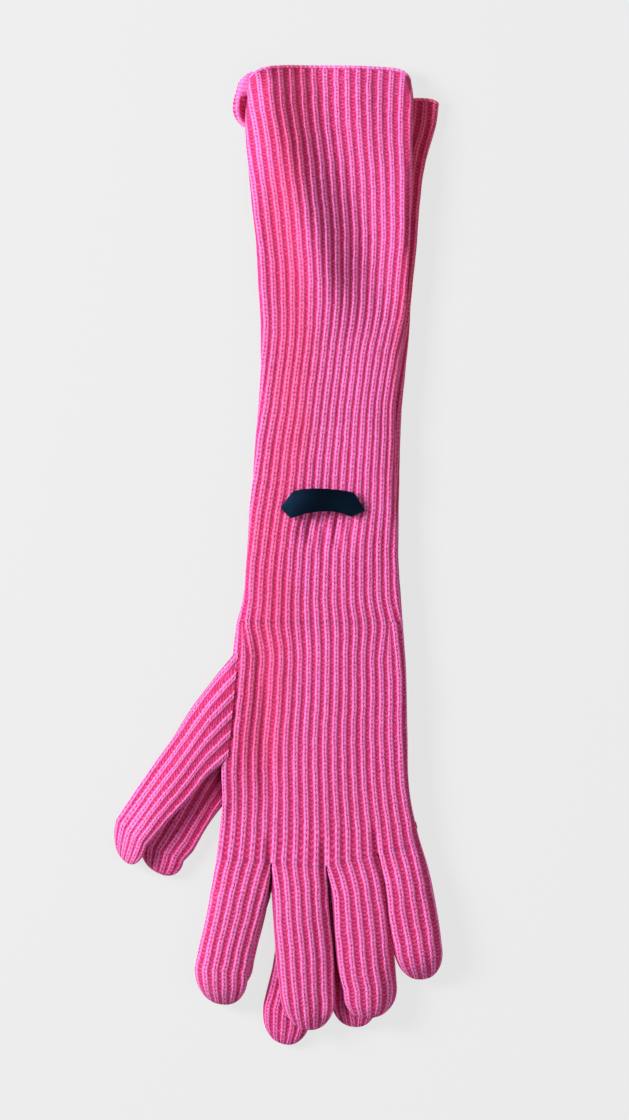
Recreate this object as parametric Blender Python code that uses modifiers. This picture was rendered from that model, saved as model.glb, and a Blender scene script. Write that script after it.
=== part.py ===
"""A pair of long rib-knit gloves, laid flat one on the other.

X runs across the gloves, +Y from the finger tips to the cuffs, +Z up from the surface they lie on.
Sizes are in millimetres until a mesh is made. Each knitted piece is a flattened open tube: a plain
inner wall, and an outer wall with the ribs raised on it. A place round a tube is counted in ribs,
from the rib at RIB_ZERO that runs from cuff to finger, and the tube is turned a little along its
length, so the first and the last rib that show change from ring to ring.
"""

import math
from collections import namedtuple

import bmesh
import bpy
import numpy as np

MM = 0.001

# The cloth
WALL = 1.5  # thickness at the bottom of a groove
RIB = 0.9  # height of a rib over its grooves
CREST = 0.22  # half-width of a rib's flat top, in ribs
GAP = 0.3  # between one piece and the next
EDGE_INSET = 0.5  # from a tube's outline to the bottom of the grooves along its edges
CROWN = 1.0  # rise of a tube's upper wall half-way across

# Ribs round each tube
ARM_RIBS = 34
HAND_RIBS = 40
THUMB_RIBS = 12
INDEX_RIBS = 12
MIDDLE_RIBS = 12
RING_RIBS = 11
LITTLE_RIBS = 10
NEW_RIBS = (-5, 11)  # ribs that begin at the wrist, on the side that shows
NEW_RIB_SHARE = 0.15  # a new rib's width where it begins, of its full width

# Space between a tube's two walls
ARM_HOLLOW = 1.2
HAND_HOLLOW = 1.4
FINGER_HOLLOW = 2.4

WRIST_Y = -30.6
LOWER_WRIST_Y = -36.9
THUMB_SLIT_TOP = 1  # row of a hand's table where the slit for the thumb begins
THUMB_SLIT_END = 4  # row where it ends
ROOT_DROP = 0.6  # from the end of a hand to the root of a finger
ROOT_BEND_LENGTH = 16.0  # over which the line of finger roots straightens out
CUFF_BEND_LENGTH = 14.0  # over which the cuff's corners straighten out
TIP_RINGS = (0.38, 0.68, 0.88, 0.975)  # places of the rings of a tip, from its last full ring
TIP_POWER = 2.3  # roundness of a tip's outline, 2 for an ellipse

# How the upper glove lies over the edges of the lower one
DRAPE_SLOPE = 0.8
DRAPE_REACH = 3.5
BED_GAP = 0.6  # from the height map up to the upper glove's ribs
CELL = 1.5  # of the height map that the upper glove lies on
MARGIN = 16.0  # of the height map round the lower glove

# The label
LABEL_THICK = 0.8

Ring = namedtuple("Ring", "left_x left_y right_x right_y rib_left rib_right hollow")
Level = namedtuple("Level", "y left right rib_left rib_right")
Edge = namedtuple("Edge", "left_x left_y right_x right_y")
Fold = namedtuple("Fold", "start_x start_y end_x end_y half_width height")
LabelRow = namedtuple("LabelRow", "low_x low_y high_x high_y lift")
CornerRow = namedtuple("CornerRow", "y left height")

# Left and right edges of each tube from cuff to wrist, and the ribs that lie on those edges
UPPER_ARM = (
    Level(219.6, -13.0, 59.8, -4.4, 10.3),
    Level(204.3, -14.4, 60.8, -5.1, 10.8),
    Level(181.8, -14.4, 60.5, -5.9, 10.8),
    Level(159.3, -12.2, 59.9, -6.1, 10.6),
    Level(141.3, -10.1, 59.2, -6.2, 10.6),
    Level(123.3, -9.0, 58.5, -6.3, 10.9),
    Level(105.3, -7.9, 57.1, -6.3, 11.3),
    Level(87.3, -7.9, 55.1, -6.1, 11.9),
    Level(69.3, -8.6, 53.1, -5.6, 12.2),
    Level(51.3, -10.1, 52.8, -5.3, 12.3),
    Level(24.3, -12.4, 52.9, -4.8, 12.6),
    Level(-2.7, -14.2, 54.0, -4.4, 13.0),
    Level(-20.7, -15.8, 54.9, -4.5, 13.0),
    Level(WRIST_Y, -18.4, 56.0, -4.7, 12.7),
)
UPPER_HAND = (
    Level(WRIST_Y, -18.4, 56.0, -5.6, 13.6),
    Level(-46.4, -20.9, 57.1, -6.0, 13.5),
    Level(-65.7, -22.9, 57.8, -6.0, 13.5),
    Level(-83.7, -24.8, 58.1, -6.0, 13.5),
    Level(-96.3, -25.9, 58.3, -6.0, 13.4),
    Level(-110.7, -25.4, 59.6, -6.0, 13.3),
    Level(-124.2, -26.6, 62.8, -6.0, 13.4),
)
LOWER_ARM = (
    Level(205.2, -4.0, 71.1, -5.0, 11.0),
    Level(181.8, -5.4, 68.0, -5.6, 11.0),
    Level(160.0, -7.0, 64.0, -6.0, 10.8),
    Level(132.3, -8.1, 61.6, -6.2, 10.8),
    Level(105.0, -6.9, 59.0, -6.2, 11.2),
    Level(69.3, -6.8, 55.8, -5.8, 12.0),
    Level(24.3, -9.9, 54.0, -5.0, 12.4),
    Level(1.8, -11.7, 54.2, -4.6, 12.8),
    Level(-20.7, -14.0, 55.4, -4.6, 12.8),
    Level(LOWER_WRIST_Y, -16.7, 56.5, -4.7, 12.7),
)
LOWER_HAND = (
    Level(LOWER_WRIST_Y, -16.7, 56.5, -5.6, 13.4),
    Level(-54.0, -18.7, 57.5, -6.0, 13.4),
    Level(-74.7, -20.5, 58.1, -6.0, 13.4),
    Level(-92.7, -22.0, 58.3, -6.0, 13.4),
    Level(-105.5, -23.1, 58.5, -6.0, 13.4),
    Level(-124.2, -22.9, 60.0, -6.0, 13.4),
)
# Corners of the line where a hand ends and its four fingers begin, and the ribs that meet there
UPPER_ROOTS = ((-28.0, -136.3), (-3.1, -139.1), (21.6, -140.4), (45.0, -134.6), (66.4, -131.0))
LOWER_ROOTS = ((-24.8, -144.9), (-1.8, -148.5), (22.1, -149.8), (45.9, -143.6), (63.0, -138.6))
ROOT_RIBS = (-6.0, -1.0, 4.0, 9.0, 13.4)
# How far the edge of a cuff drops at its corners, by the share of its width
UPPER_CUFF = ((0.0, -5.2), (0.06, -2.8), (0.14, -1.2), (0.3, -0.2), (0.5, 0.0), (0.93, 0.0), (1.0, -2.2))
LOWER_CUFF = ((0.0, -1.5), (0.06, 0.0), (0.94, 0.0), (1.0, -2.0))

# Left and right edges of each finger from its root to the start of its tip, and the tip
Finger = namedtuple("Finger", "edges tip_x tip_y ribs rib_left rib_right")
UPPER_FINGERS = {
    "index": Finger(
        (
            Edge(-29.2, -147.6, -3.7, -150.3),
            Edge(-31.9, -163.8, -5.9, -165.6),
            Edge(-35.1, -176.0, -9.0, -178.2),
            Edge(-37.1, -186.3, -11.2, -189.0),
        ),
        -25.2, -203.0, INDEX_RIBS, -5.8, 0.1,
    ),
    "middle": Finger(
        (
            Edge(-2.5, -151.2, 22.2, -151.2),
            Edge(-1.4, -169.2, 23.7, -169.2),
            Edge(-0.5, -184.1, 25.0, -184.1),
            Edge(0.9, -196.2, 25.2, -197.6),
        ),
        14.0, -214.2, MIDDLE_RIBS, -1.3, 4.7,
    ),
    "ring": Finger(
        (
            Edge(24.1, -151.2, 47.0, -147.6),
            Edge(25.6, -173.7, 49.9, -170.1),
            Edge(27.0, -188.1, 52.1, -185.4),
            Edge(29.2, -197.1, 53.3, -195.3),
        ),
        41.4, -208.8, RING_RIBS, 3.9, 9.4,
    ),
    "little": Finger(
        (
            Edge(48.6, -149.0, 69.3, -144.9),
            Edge(51.3, -167.0, 72.5, -163.8),
            Edge(52.9, -178.2, 74.0, -176.0),
        ),
        65.2, -191.7, LITTLE_RIBS, 8.8, 13.6,
    ),
}
LOWER_FINGERS = {
    "index": Finger(
        (
            Edge(-26.1, -158.0, -4.0, -161.1),
            Edge(-28.8, -173.7, -6.8, -176.8),
            Edge(-30.2, -180.5, -8.1, -183.6),
        ),
        -21.2, -197.1, INDEX_RIBS, -5.8, 0.1,
    ),
    "middle": Finger(
        (
            Edge(-0.9, -167.0, 20.7, -168.3),
            Edge(-2.7, -185.0, 19.4, -187.2),
            Edge(-6.5, -203.0, 15.3, -208.3),
        ),
        2.7, -221.0, MIDDLE_RIBS, -1.3, 4.7,
    ),
    "ring": Finger(
        (
            Edge(23.9, -167.0, 46.2, -164.7),
            Edge(23.9, -185.0, 46.4, -184.1),
            Edge(24.8, -199.8, 44.6, -201.6),
        ),
        34.6, -213.3, RING_RIBS, 3.9, 9.4,
    ),
    "little": Finger(
        (
            Edge(49.5, -158.0, 66.6, -154.8),
            Edge(52.2, -172.8, 69.3, -170.1),
        ),
        62.6, -185.4, LITTLE_RIBS, 8.8, 13.6,
    ),
}
UPPER_THUMB = Finger(
    (
        Edge(-19.9, -49.2, -24.5, -94.0),
        Edge(-30.2, -57.8, -32.0, -101.2),
        Edge(-39.6, -70.2, -37.8, -108.5),
        Edge(-47.2, -82.4, -44.6, -115.7),
        Edge(-56.2, -95.0, -50.0, -121.5),
        Edge(-65.2, -108.0, -55.4, -127.4),
        Edge(-72.0, -119.2, -59.0, -131.4),
    ),
    -69.3, -138.2, THUMB_RIBS, -3.0, 3.0,
)
LOWER_THUMB = Finger(
    (
        Edge(-18.5, -57.0, -22.2, -101.6),
        Edge(-25.8, -66.6, -28.4, -109.6),
        Edge(-35.1, -82.8, -29.7, -118.8),
        Edge(-43.2, -98.1, -33.8, -126.0),
        Edge(-51.8, -114.3, -38.2, -134.1),
        Edge(-58.5, -127.8, -40.5, -138.6),
    ),
    -51.8, -144.5, THUMB_RIBS, -3.0, 3.0,
)

# Soft troughs and ridges in the upper walls
UPPER_FOLDS = (
    Fold(-6.0, 208.0, 16.0, 168.0, 6.0, -1.0),
    Fold(16.0, 168.0, 48.0, 110.0, 7.0, -0.9),
    Fold(-9.0, 190.0, 10.0, 140.0, 6.0, 0.8),
    Fold(49.0, 205.0, 53.0, 105.0, 6.0, 0.8),
    Fold(-7.2, -38.0, -4.5, -111.0, 4.0, -0.6),
    Fold(-16.0, -36.0, -16.5, -92.0, 4.0, 0.7),
)
LOWER_FOLDS = (
    Fold(20.0, 190.0, 30.0, 120.0, 8.0, -0.5),
    Fold(62.0, 195.0, 56.0, 140.0, 5.0, 0.5),
)

# The label's lower and upper edge from its left tip to its right one, and how far it stands off
LABEL = (
    LabelRow(1.4, 20.3, 1.4, 21.1, 0.1),
    LabelRow(5.9, 16.0, 6.9, 28.2, 0.5),
    LabelRow(12.4, 18.1, 11.6, 29.2, 1.0),
    LabelRow(18.0, 19.1, 17.4, 29.4, 1.3),
    LabelRow(23.6, 19.2, 23.8, 29.1, 1.3),
    LabelRow(28.3, 18.4, 29.2, 28.5, 1.0),
    LabelRow(32.9, 16.7, 34.0, 27.7, 0.5),
    LabelRow(38.7, 19.4, 38.7, 20.2, 0.1),
)
# The corner of the upper cuff that is turned out: its left edge, and the height of its rolled rim
CORNER_RIGHT = -15.1
CORNER = (
    CornerRow(215.0, -16.4, 3.0),
    CornerRow(209.5, -18.4, 4.6),
    CornerRow(204.3, -20.2, 5.2),
    CornerRow(198.9, -20.5, 5.2),
    CornerRow(195.0, -18.6, 4.4),
    CornerRow(191.8, -16.2, 3.0),
)
# Its section: places from the arm outwards, and heights as shares of the rim's height
CORNER_SECTION = ((0.0, 0.15), (0.0, 0.85), (0.25, 0.6), (0.5, 0.45), (0.8, 1.0), (1.0, 0.75), (1.0, 0.2))

PINK = (0.92, 0.10, 0.38, 1.0)
DEEP_PINK = (0.80, 0.06, 0.30, 1.0)
NAVY = (0.010, 0.014, 0.028, 1.0)
WOOL_ROUGHNESS = 0.9
SATIN_ROUGHNESS = 0.45


def rings_between(table, spacing):
    """The table's rings and those between them, on a smooth curve through the table."""
    rows = np.array(table, float)
    middle = (rows[:, 0:2] + rows[:, 2:4]) / 2
    steps = np.linalg.norm(np.diff(middle, axis=0), axis=1)
    along = np.concatenate([[0.0], np.cumsum(steps)])
    slopes = np.gradient(rows, along, axis=0)
    found = []
    for i, step in enumerate(steps):
        count = max(1, round(step / spacing))
        for t in np.arange(count) / count:
            ends = (1 + 2 * t) * (1 - t) ** 2 * rows[i] + t * t * (3 - 2 * t) * rows[i + 1]
            turns = t * (1 - t) ** 2 * slopes[i] - t * t * (1 - t) * slopes[i + 1]
            found.append(Ring(*(ends + step * turns)))
    found.append(Ring(*rows[-1]))
    return found


def stadium(place, width, thick):
    """Points and outward directions round a flat tube's section, seen from its end.

    Place 0 is the left end, 0 to 1 runs over the top to the right end, and 1 to 2 back underneath.
    """
    radius = thick / 2
    flat = width - thick
    quarter = math.pi * radius / 2
    side = np.where(place < 1, 1.0, -1.0)
    run = (place % 1) * (flat + 2 * quarter)
    angle = np.where(run < quarter, run, np.maximum(run - flat, quarter)) / radius
    across = np.clip(run - quarter, 0, flat) - flat / 2 - radius * np.cos(angle)
    return side * across, side * radius * np.sin(angle), -side * np.cos(angle), side * np.sin(angle)


def rib_height(rib):
    """Height of the outer wall over its grooves at a place counted in ribs."""
    share = rib % 1
    return RIB * np.clip(np.minimum(share, 1 - share) / (0.5 - CREST), 0, 1)


def fold_height(folds, x, y):
    height = np.zeros_like(x)
    for fold in folds:
        run = np.array([fold.end_x - fold.start_x, fold.end_y - fold.start_y])
        length = np.linalg.norm(run)
        dx, dy = x - fold.start_x, y - fold.start_y
        share = (dx * run[0] + dy * run[1]) / length**2
        off = (dx * run[1] - dy * run[0]) / length
        fade = np.clip(np.minimum(share, 1 - share) * 4 + 0.5, 0, 1)
        height += fold.height * fade * np.exp(-((off / fold.half_width) ** 2))
    return height


class Tube:
    """One knitted tube: its rings from root to tip, and the walls worked out from them."""

    def __init__(self, rings, ribs, bed, folds, tip=None, bend=None, flat_under=False):
        self.rings = rings
        self.ribs = ribs
        self.bed = bed  # height that the tube's underside rests at, from x and y
        self.folds = folds
        self.tip = tip
        self.bend = bend  # how far a ring leaves a straight line, from the ring and the share across
        self.flat_under = flat_under
        self.new_ribs = ()

    def grown(self, ring):
        """Width of a new rib at this ring, of its full width."""
        if not self.new_ribs:
            return 1.0
        length = self.rings[1].left_y - self.rings[0].left_y
        return float(np.clip((ring.left_y - self.rings[0].left_y) / length, NEW_RIB_SHARE, 1))

    def place_of(self, rib, ring):
        """Place round the section of a place counted in ribs."""
        grown = self.grown(ring)

        def run(r):
            return r - (1 - grown) * sum(np.clip(r - new, 0, 1) for new in self.new_ribs)

        left, right = ring.rib_left, ring.rib_right
        rib = left + (rib - left) % self.ribs
        over = (run(rib) - run(left)) / (run(right) - run(left))
        under = 1 + (rib - right) / (self.ribs - (right - left))
        return np.where(rib <= right, over, under)

    def points(self, ring, place, inset, raised, forward=0.0, shrink=1.0):
        """Points of one ring, inset from the wall's outside and raised by the ribs."""
        left = np.array([ring.left_x, ring.left_y])
        right = np.array([ring.right_x, ring.right_y])
        length = np.linalg.norm(right - left)
        direction = (right - left) / length
        full = 2 * WALL + ring.hollow
        width = (length - 2 * EDGE_INSET - 2 * inset) * shrink
        thick = min((full - 2 * inset) * shrink**0.6, 0.9 * width)
        across, up, out_across, out_up = stadium(place, width, thick)
        if self.flat_under:
            raised = raised * np.clip(1 + 1.5 * out_up, 0, 1)
        reach = across + out_across * raised
        x = (left[0] + right[0]) / 2 + direction[0] * reach
        y = (left[1] + right[1]) / 2 + direction[1] * reach
        if forward:
            run = np.array(self.tip) - (left + right) / 2
            run *= 1 - inset / np.linalg.norm(run)
            x = x + run[0] * forward
            y = y + run[1] * forward
        if self.bend:
            y = y + self.bend(ring, reach / length + 0.5)
        top = np.clip(out_up, 0, 1)
        rise = CROWN * shrink * (1 - (2 * across / width) ** 2) + fold_height(self.folds, x, y)
        z = self.bed(x, y) + full / 2 + up + out_up * raised + top * rise
        return np.stack([x, y, z], axis=-1)

    def columns(self, per_rib_over, per_rib_under):
        """Places counted in ribs, once round the tube, closer on the side that shows."""
        first = math.floor(min(ring.rib_left for ring in self.rings)) - 1
        last = math.ceil(max(ring.rib_right for ring in self.rings)) + 1
        found = []
        for rib in range(first, first + self.ribs):
            shares = per_rib_over if rib < last else per_rib_under
            if isinstance(shares, int):
                if (rib - last) % shares == 0:
                    found.append(float(rib))
            else:
                found += [rib + share for share in shares]
        return np.array(found)

    def walls(self, columns, across):
        """Outer and inner rings of points, with the place of each point round the section."""
        outer, inner, outer_places, inner_places = [], [], [], []
        rounds = [(0.0, 1.0)] * len(self.rings)
        if self.tip:
            rounds += [(t, (1 - t**TIP_POWER) ** (1 / TIP_POWER)) for t in TIP_RINGS]
        for i, (forward, shrink) in enumerate(rounds):
            ring = self.rings[min(i, len(self.rings) - 1)]
            place = self.place_of(columns, ring)
            raised = rib_height(columns) * min(1.0, 1.6 * shrink) * np.ones_like(place)
            for new in self.new_ribs:
                raised = np.where((columns > new) & (columns < new + 1), raised * self.grown(ring), raised)
            outer.append(self.points(ring, place, 0.0, raised, forward, shrink))
            outer_places.append(place)
            width = math.dist(ring[0:2], ring[2:4]) - 2 * EDGE_INSET - 2 * WALL
            quarter = math.pi * ring.hollow / 4
            corner = quarter / (width - ring.hollow + 2 * quarter)
            over = np.linspace(corner, 1 - corner, across + 1)
            place = np.concatenate([[0.0], over, [1.0], 1 + over])
            inner.append(self.points(ring, place, WALL, 0.0, forward, shrink))
            inner_places.append(place)
        return outer, inner, outer_places, inner_places

    def tip_point(self, inset):
        ring = self.rings[-1]
        middle = np.array([ring.left_x + ring.right_x, ring.left_y + ring.right_y]) / 2
        run = np.array(self.tip) - middle
        point = middle + run * (1 - inset / np.linalg.norm(run))
        height = self.bed(point[:1], point[1:])[0] + WALL + ring.hollow / 2
        return (point[0], point[1], height)


def face_outwards(bm):
    bmesh.ops.recalc_face_normals(bm, faces=bm.faces)
    if bm.calc_volume(signed=True) < 0:
        bmesh.ops.reverse_faces(bm, faces=bm.faces)


def zip_loops(bm, first, second, period):
    """Triangles between two closed loops of (place, vertex), both in order of place."""

    def at(loop, i):
        place, vertex = loop[i % len(loop)]
        return place + period * (i // len(loop)), vertex

    i = j = 0
    while i < len(first) or j < len(second):
        take_first = j == len(second) or (i < len(first) and at(first, i + 1)[0] <= at(second, j + 1)[0])
        here, there = at(first, i)[1], at(second, j)[1]
        if take_first:
            bm.faces.new((here, at(first, i + 1)[1], there))
            i += 1
        else:
            bm.faces.new((here, at(second, j + 1)[1], there))
            j += 1


def slit_loop(rows, first, last, front, back, between):
    """The edge of the thumb slit in one wall, as (place, vertex): down its front side, up its back."""
    length = last - first
    steps = len(between) + 1
    loop = [((i - first) / length, rows[i][front]) for i in range(first, last + 1)]
    loop += [(1 + (k + 1) / steps, rows[last][column]) for k, column in enumerate(between)]
    loop += [(2 + (last - i) / length, rows[i][back]) for i in range(last, first - 1, -1)]
    loop += [(3 + (k + 1) / steps, rows[first][column]) for k, column in enumerate(reversed(between))]
    return loop


def add_walls(bm, tube, columns, across, slit=None):
    """The tube's outer and inner wall, joined at its open ends, at a slit and at nothing else."""
    outer, inner, outer_places, inner_places = tube.walls(columns, across)
    outer_rows = [[bm.verts.new(p * MM) for p in ring] for ring in outer]
    inner_rows = [[bm.verts.new(p * MM) for p in ring] for ring in inner]
    sides = []
    for rows, ring_count in ((outer_rows, len(columns)), (inner_rows, len(inner_places[0]))):
        skipped = set()
        if slit:
            half = slit[2] if rows is outer_rows else 1
            zero = int(np.argmin(np.abs(columns - slit[3]))) if rows is outer_rows else 0
            span = [(zero + k) % ring_count for k in range(half, -half - 1, -1)]
            skipped = {(i, column) for i in range(slit[0], slit[1]) for column in span[1:]}
            sides.append(slit_loop(rows, slit[0], slit[1], span[0], span[-1], span[1:-1]))
        for i in range(len(rows) - 1):
            for j in range(ring_count):
                if (i, j) not in skipped:
                    k = (j + 1) % ring_count
                    bm.faces.new((rows[i][j], rows[i][k], rows[i + 1][k], rows[i + 1][j]))
    if slit:
        zip_loops(bm, sides[0], sides[1], 4.0)
    for end in (0,) if tube.tip else (0, -1):
        loops = []
        for rows, places in ((outer_rows, outer_places), (inner_rows, inner_places)):
            order = np.argsort(places[end])
            loops.append([(places[end][j], rows[end][j]) for j in order])
        zip_loops(bm, loops[0], loops[1], 2.0)
    if tube.tip:
        for rows, inset in ((outer_rows, 0.0), (inner_rows, WALL)):
            point = bm.verts.new(np.array(tube.tip_point(inset)) * MM)
            last = rows[-1]
            for j, vertex in enumerate(last):
                bm.faces.new((vertex, last[(j + 1) % len(last)], point))
    face_outwards(bm)


def new_object(name, bm, material, parent):
    mesh = bpy.data.meshes.new(name)
    bm.to_mesh(mesh)
    bm.free()
    mesh.materials.append(material)
    mesh.shade_smooth()
    mesh.set_sharp_from_angle(angle=math.radians(50))
    obj = bpy.data.objects.new(name, mesh)
    bpy.data.collections[COLLECTION].objects.link(obj)
    obj.parent = parent
    return obj


def new_material(name, colour, roughness):
    material = bpy.data.materials.new(name)
    material.use_nodes = True
    shader = material.node_tree.nodes["Principled BSDF"]
    shader.inputs["Base Color"].default_value = colour
    shader.inputs["Roughness"].default_value = roughness
    shader.inputs["Metallic"].default_value = 0.0
    material.diffuse_color = colour
    return material


def new_empty(name):
    empty = bpy.data.objects.new(name, None)
    bpy.data.collections[COLLECTION].objects.link(empty)
    return empty


class HeightMap:
    """Heights of the top of some tubes, spread outwards as cloth that lies over them falls away."""

    def __init__(self, tubes):
        points = []
        for tube in tubes:
            fine = Tube(
                tube.rings, tube.ribs, tube.bed, tube.folds, tube.tip, tube.bend, tube.flat_under
            )
            fine.rings = rings_between(tube.rings, CELL)
            columns = np.arange(0, tube.ribs, 0.25)
            points += fine.walls(columns, 2)[0]
        points = np.concatenate(points)
        self.low = points[:, :2].min(axis=0) - MARGIN
        size = np.ceil((points[:, :2].max(axis=0) + MARGIN - self.low) / CELL).astype(int) + 1
        heights = np.zeros(size)
        cells = np.round((points[:, :2] - self.low) / CELL).astype(int)
        np.maximum.at(heights, (cells[:, 0], cells[:, 1]), points[:, 2])
        steps = math.ceil(DRAPE_REACH / CELL + heights.max() / DRAPE_SLOPE / CELL)
        spread = heights.copy()
        for dx in range(-steps, steps + 1):
            for dy in range(-steps, steps + 1):
                drop = DRAPE_SLOPE * max(0.0, math.hypot(dx, dy) * CELL - DRAPE_REACH)
                spread = np.maximum(spread, np.roll(heights, (dx, dy), axis=(0, 1)) - drop)
        for axis in (0, 1, 0, 1):
            spread = (np.roll(spread, 1, axis) + 2 * spread + np.roll(spread, -1, axis)) / 4
        self.heights = spread

    def __call__(self, x, y):
        size = np.array(self.heights.shape)
        column = np.clip((x - self.low[0]) / CELL, 0, size[0] - 1.001)
        row = np.clip((y - self.low[1]) / CELL, 0, size[1] - 1.001)
        i, j = column.astype(int), row.astype(int)
        s, t = column - i, row - j
        near = self.heights[i, j] * (1 - s) + self.heights[i + 1, j] * s
        far = self.heights[i, j + 1] * (1 - s) + self.heights[i + 1, j + 1] * s
        return near * (1 - t) + far * t


def level_rings(table, hollow):
    return [Ring(row.left, row.y, row.right, row.y, row.rib_left, row.rib_right, hollow) for row in table]


def hand_end(roots):
    """The last ring of a hand, and how far its line of finger roots leaves a straight line."""
    (left_x, left_y), (right_x, right_y) = roots[0], roots[-1]
    ring = Ring(left_x, left_y, right_x, right_y, ROOT_RIBS[0], ROOT_RIBS[-1], HAND_HOLLOW)
    shares = [(x - left_x) / (right_x - left_x) for x, _ in roots]
    drops = [y - left_y - share * (right_y - left_y) for (_, y), share in zip(roots, shares)]

    def bend(here, share):
        part = np.clip((here.left_y - left_y) / ROOT_BEND_LENGTH, 0, 1)
        return (1 - part) * np.interp(share, shares, drops)

    return ring, bend


def cuff_bend(cuff, top):
    """How far a cuff's rings drop at their corners, fading below the edge."""
    shares, drops = zip(*cuff)

    def bend(here, share):
        part = np.clip((top - here.left_y) / CUFF_BEND_LENGTH, 0, 1)
        return (1 - part) * np.interp(share, shares, drops)

    return bend


def glove_tubes(cuff, arm, hand, roots, thumb, fingers, bed, folds, flat_under):
    """The tubes of one glove by name, from its tables."""
    bend = cuff_bend(cuff, arm[0].y)
    rings = level_rings(arm, ARM_HOLLOW)
    tubes = {"arm": Tube(rings, ARM_RIBS, bed, folds, bend=bend, flat_under=flat_under)}
    wrist = level_rings(hand, HAND_HOLLOW)
    below = wrist[0].left_y - GAP
    wrist[0] = wrist[0]._replace(left_y=below, right_y=below, hollow=ARM_HOLLOW)
    end, bend = hand_end(roots)
    tubes["hand"] = Tube(wrist + [end], HAND_RIBS, bed, folds, bend=bend, flat_under=flat_under)
    tubes["hand"].new_ribs = NEW_RIBS
    for i, (name, finger) in enumerate(fingers.items()):
        (left_x, left_y), (right_x, right_y) = roots[i], roots[i + 1]
        root = Edge(left_x + GAP, left_y - ROOT_DROP, right_x - GAP, right_y - ROOT_DROP)
        rings = [Ring(*root, ROOT_RIBS[i], ROOT_RIBS[i + 1], HAND_HOLLOW)]
        rings += [Ring(*edge, finger.rib_left, finger.rib_right, FINGER_HOLLOW) for edge in finger.edges]
        tip = (finger.tip_x, finger.tip_y)
        tubes[name] = Tube(rings, finger.ribs, bed, (), tip, flat_under=flat_under)
    rings = [Ring(*edge, thumb.rib_left, thumb.rib_right, FINGER_HOLLOW) for edge in thumb.edges]
    rings[0] = rings[0]._replace(hollow=HAND_HOLLOW)
    tubes["thumb"] = Tube(rings, thumb.ribs, bed, (), (thumb.tip_x, thumb.tip_y), flat_under=flat_under)
    return tubes


def build_glove(prefix, tubes, spacing, over, under, across, material):
    """One named object for each tube, all on one empty."""
    parent = new_empty(prefix + "_glove")
    for name, tube in tubes.items():
        columns = tube.columns(over, under)
        slit = None
        if name == "hand":
            half = len(over)
            slit = (THUMB_SLIT_TOP, THUMB_SLIT_END, half - 1, ROOT_RIBS[0])
        else:
            tube.rings = rings_between(tube.rings, spacing)
        bm = bmesh.new()
        add_walls(bm, tube, columns, across if name in ("arm", "hand") else 2, slit)
        new_object(f"{prefix}_{name}", bm, material, parent)


def build_label(bed, material, parent):
    """A thin woven strip that bridges over the ribs between its two tacked tips."""
    bm = bmesh.new()
    rows = []
    for row in LABEL:
        low = np.array([row.low_x, row.low_y])
        high = np.array([row.high_x, row.high_y])
        line = []
        for share in (0.0, 0.5, 1.0):
            x, y = low + (high - low) * share
            height = bed(np.array([x]), np.array([y]))[0] + GAP + row.lift
            line.append(bm.verts.new((x * MM, y * MM, height * MM)))
        rows.append(line)
    for line, following in zip(rows, rows[1:]):
        for k in range(2):
            bm.faces.new((line[k], following[k], following[k + 1], line[k + 1]))
    bmesh.ops.recalc_face_normals(bm, faces=bm.faces)
    if sum(face.normal.z for face in bm.faces) < 0:
        bmesh.ops.reverse_faces(bm, faces=bm.faces)
    label = new_object("label", bm, material, parent)
    solidify = label.modifiers.new("thickness", "SOLIDIFY")
    solidify.thickness = LABEL_THICK * MM
    solidify.offset = 1.0


def build_corner(bed, material, parent):
    """The doubled, rolled corner of the upper cuff, dished between the arm and its rim."""
    bm = bmesh.new()
    rows = []
    for row in CORNER:
        ring = []
        for share, height in CORNER_SECTION:
            x = CORNER_RIGHT + (row.left - CORNER_RIGHT) * share
            ring.append(bm.verts.new((x * MM, row.y * MM, row.height * height * MM)))
        rows.append(ring)
    for ring, following in zip(rows, rows[1:]):
        for k in range(len(ring)):
            n = (k + 1) % len(ring)
            bm.faces.new((ring[k], ring[n], following[n], following[k]))
    for ring in (rows[0], rows[-1]):
        bm.faces.new(ring)
    face_outwards(bm)
    corner = new_object("upper_cuff_corner", bm, material, parent)
    soft = corner.modifiers.new("soft", "SUBSURF")
    soft.levels = soft.render_levels = 1


for old in list(bpy.data.objects):
    bpy.data.objects.remove(old, do_unlink=True)
COLLECTION = "rib_knit_gloves"
bpy.context.scene.collection.children.link(bpy.data.collections.new(COLLECTION))

pink = new_material("pink_wool", PINK, WOOL_ROUGHNESS)
deep_pink = new_material("pink_wool_shaded", DEEP_PINK, WOOL_ROUGHNESS)
navy = new_material("navy_satin", NAVY, SATIN_ROUGHNESS)

lower = glove_tubes(
    LOWER_CUFF, LOWER_ARM, LOWER_HAND, LOWER_ROOTS, LOWER_THUMB, LOWER_FINGERS,
    lambda x, y: np.zeros_like(x), LOWER_FOLDS, True,
)
under_upper = HeightMap(lower.values())
upper = glove_tubes(
    UPPER_CUFF, UPPER_ARM, UPPER_HAND, UPPER_ROOTS, UPPER_THUMB, UPPER_FINGERS,
    lambda x, y: under_upper(x, y) + RIB + BED_GAP, UPPER_FOLDS, False,
)
under_label = HeightMap([upper["arm"]])
build_glove("lower", lower, 22.0, (0.0, 0.5), 2, 5, deep_pink)
build_glove("upper", upper, 19.0, (0.0, 0.5 - CREST, 0.5 + CREST), (0.0, 0.5), 6, pink)
upper_glove = bpy.data.objects["upper_glove"]
build_label(under_label, navy, upper_glove)
build_corner(under_upper, pink, upper_glove)
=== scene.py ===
"""A pair of long rib-knit wool gloves, laid flat one on the other on a pale surface."""

import math
from collections import namedtuple

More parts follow.
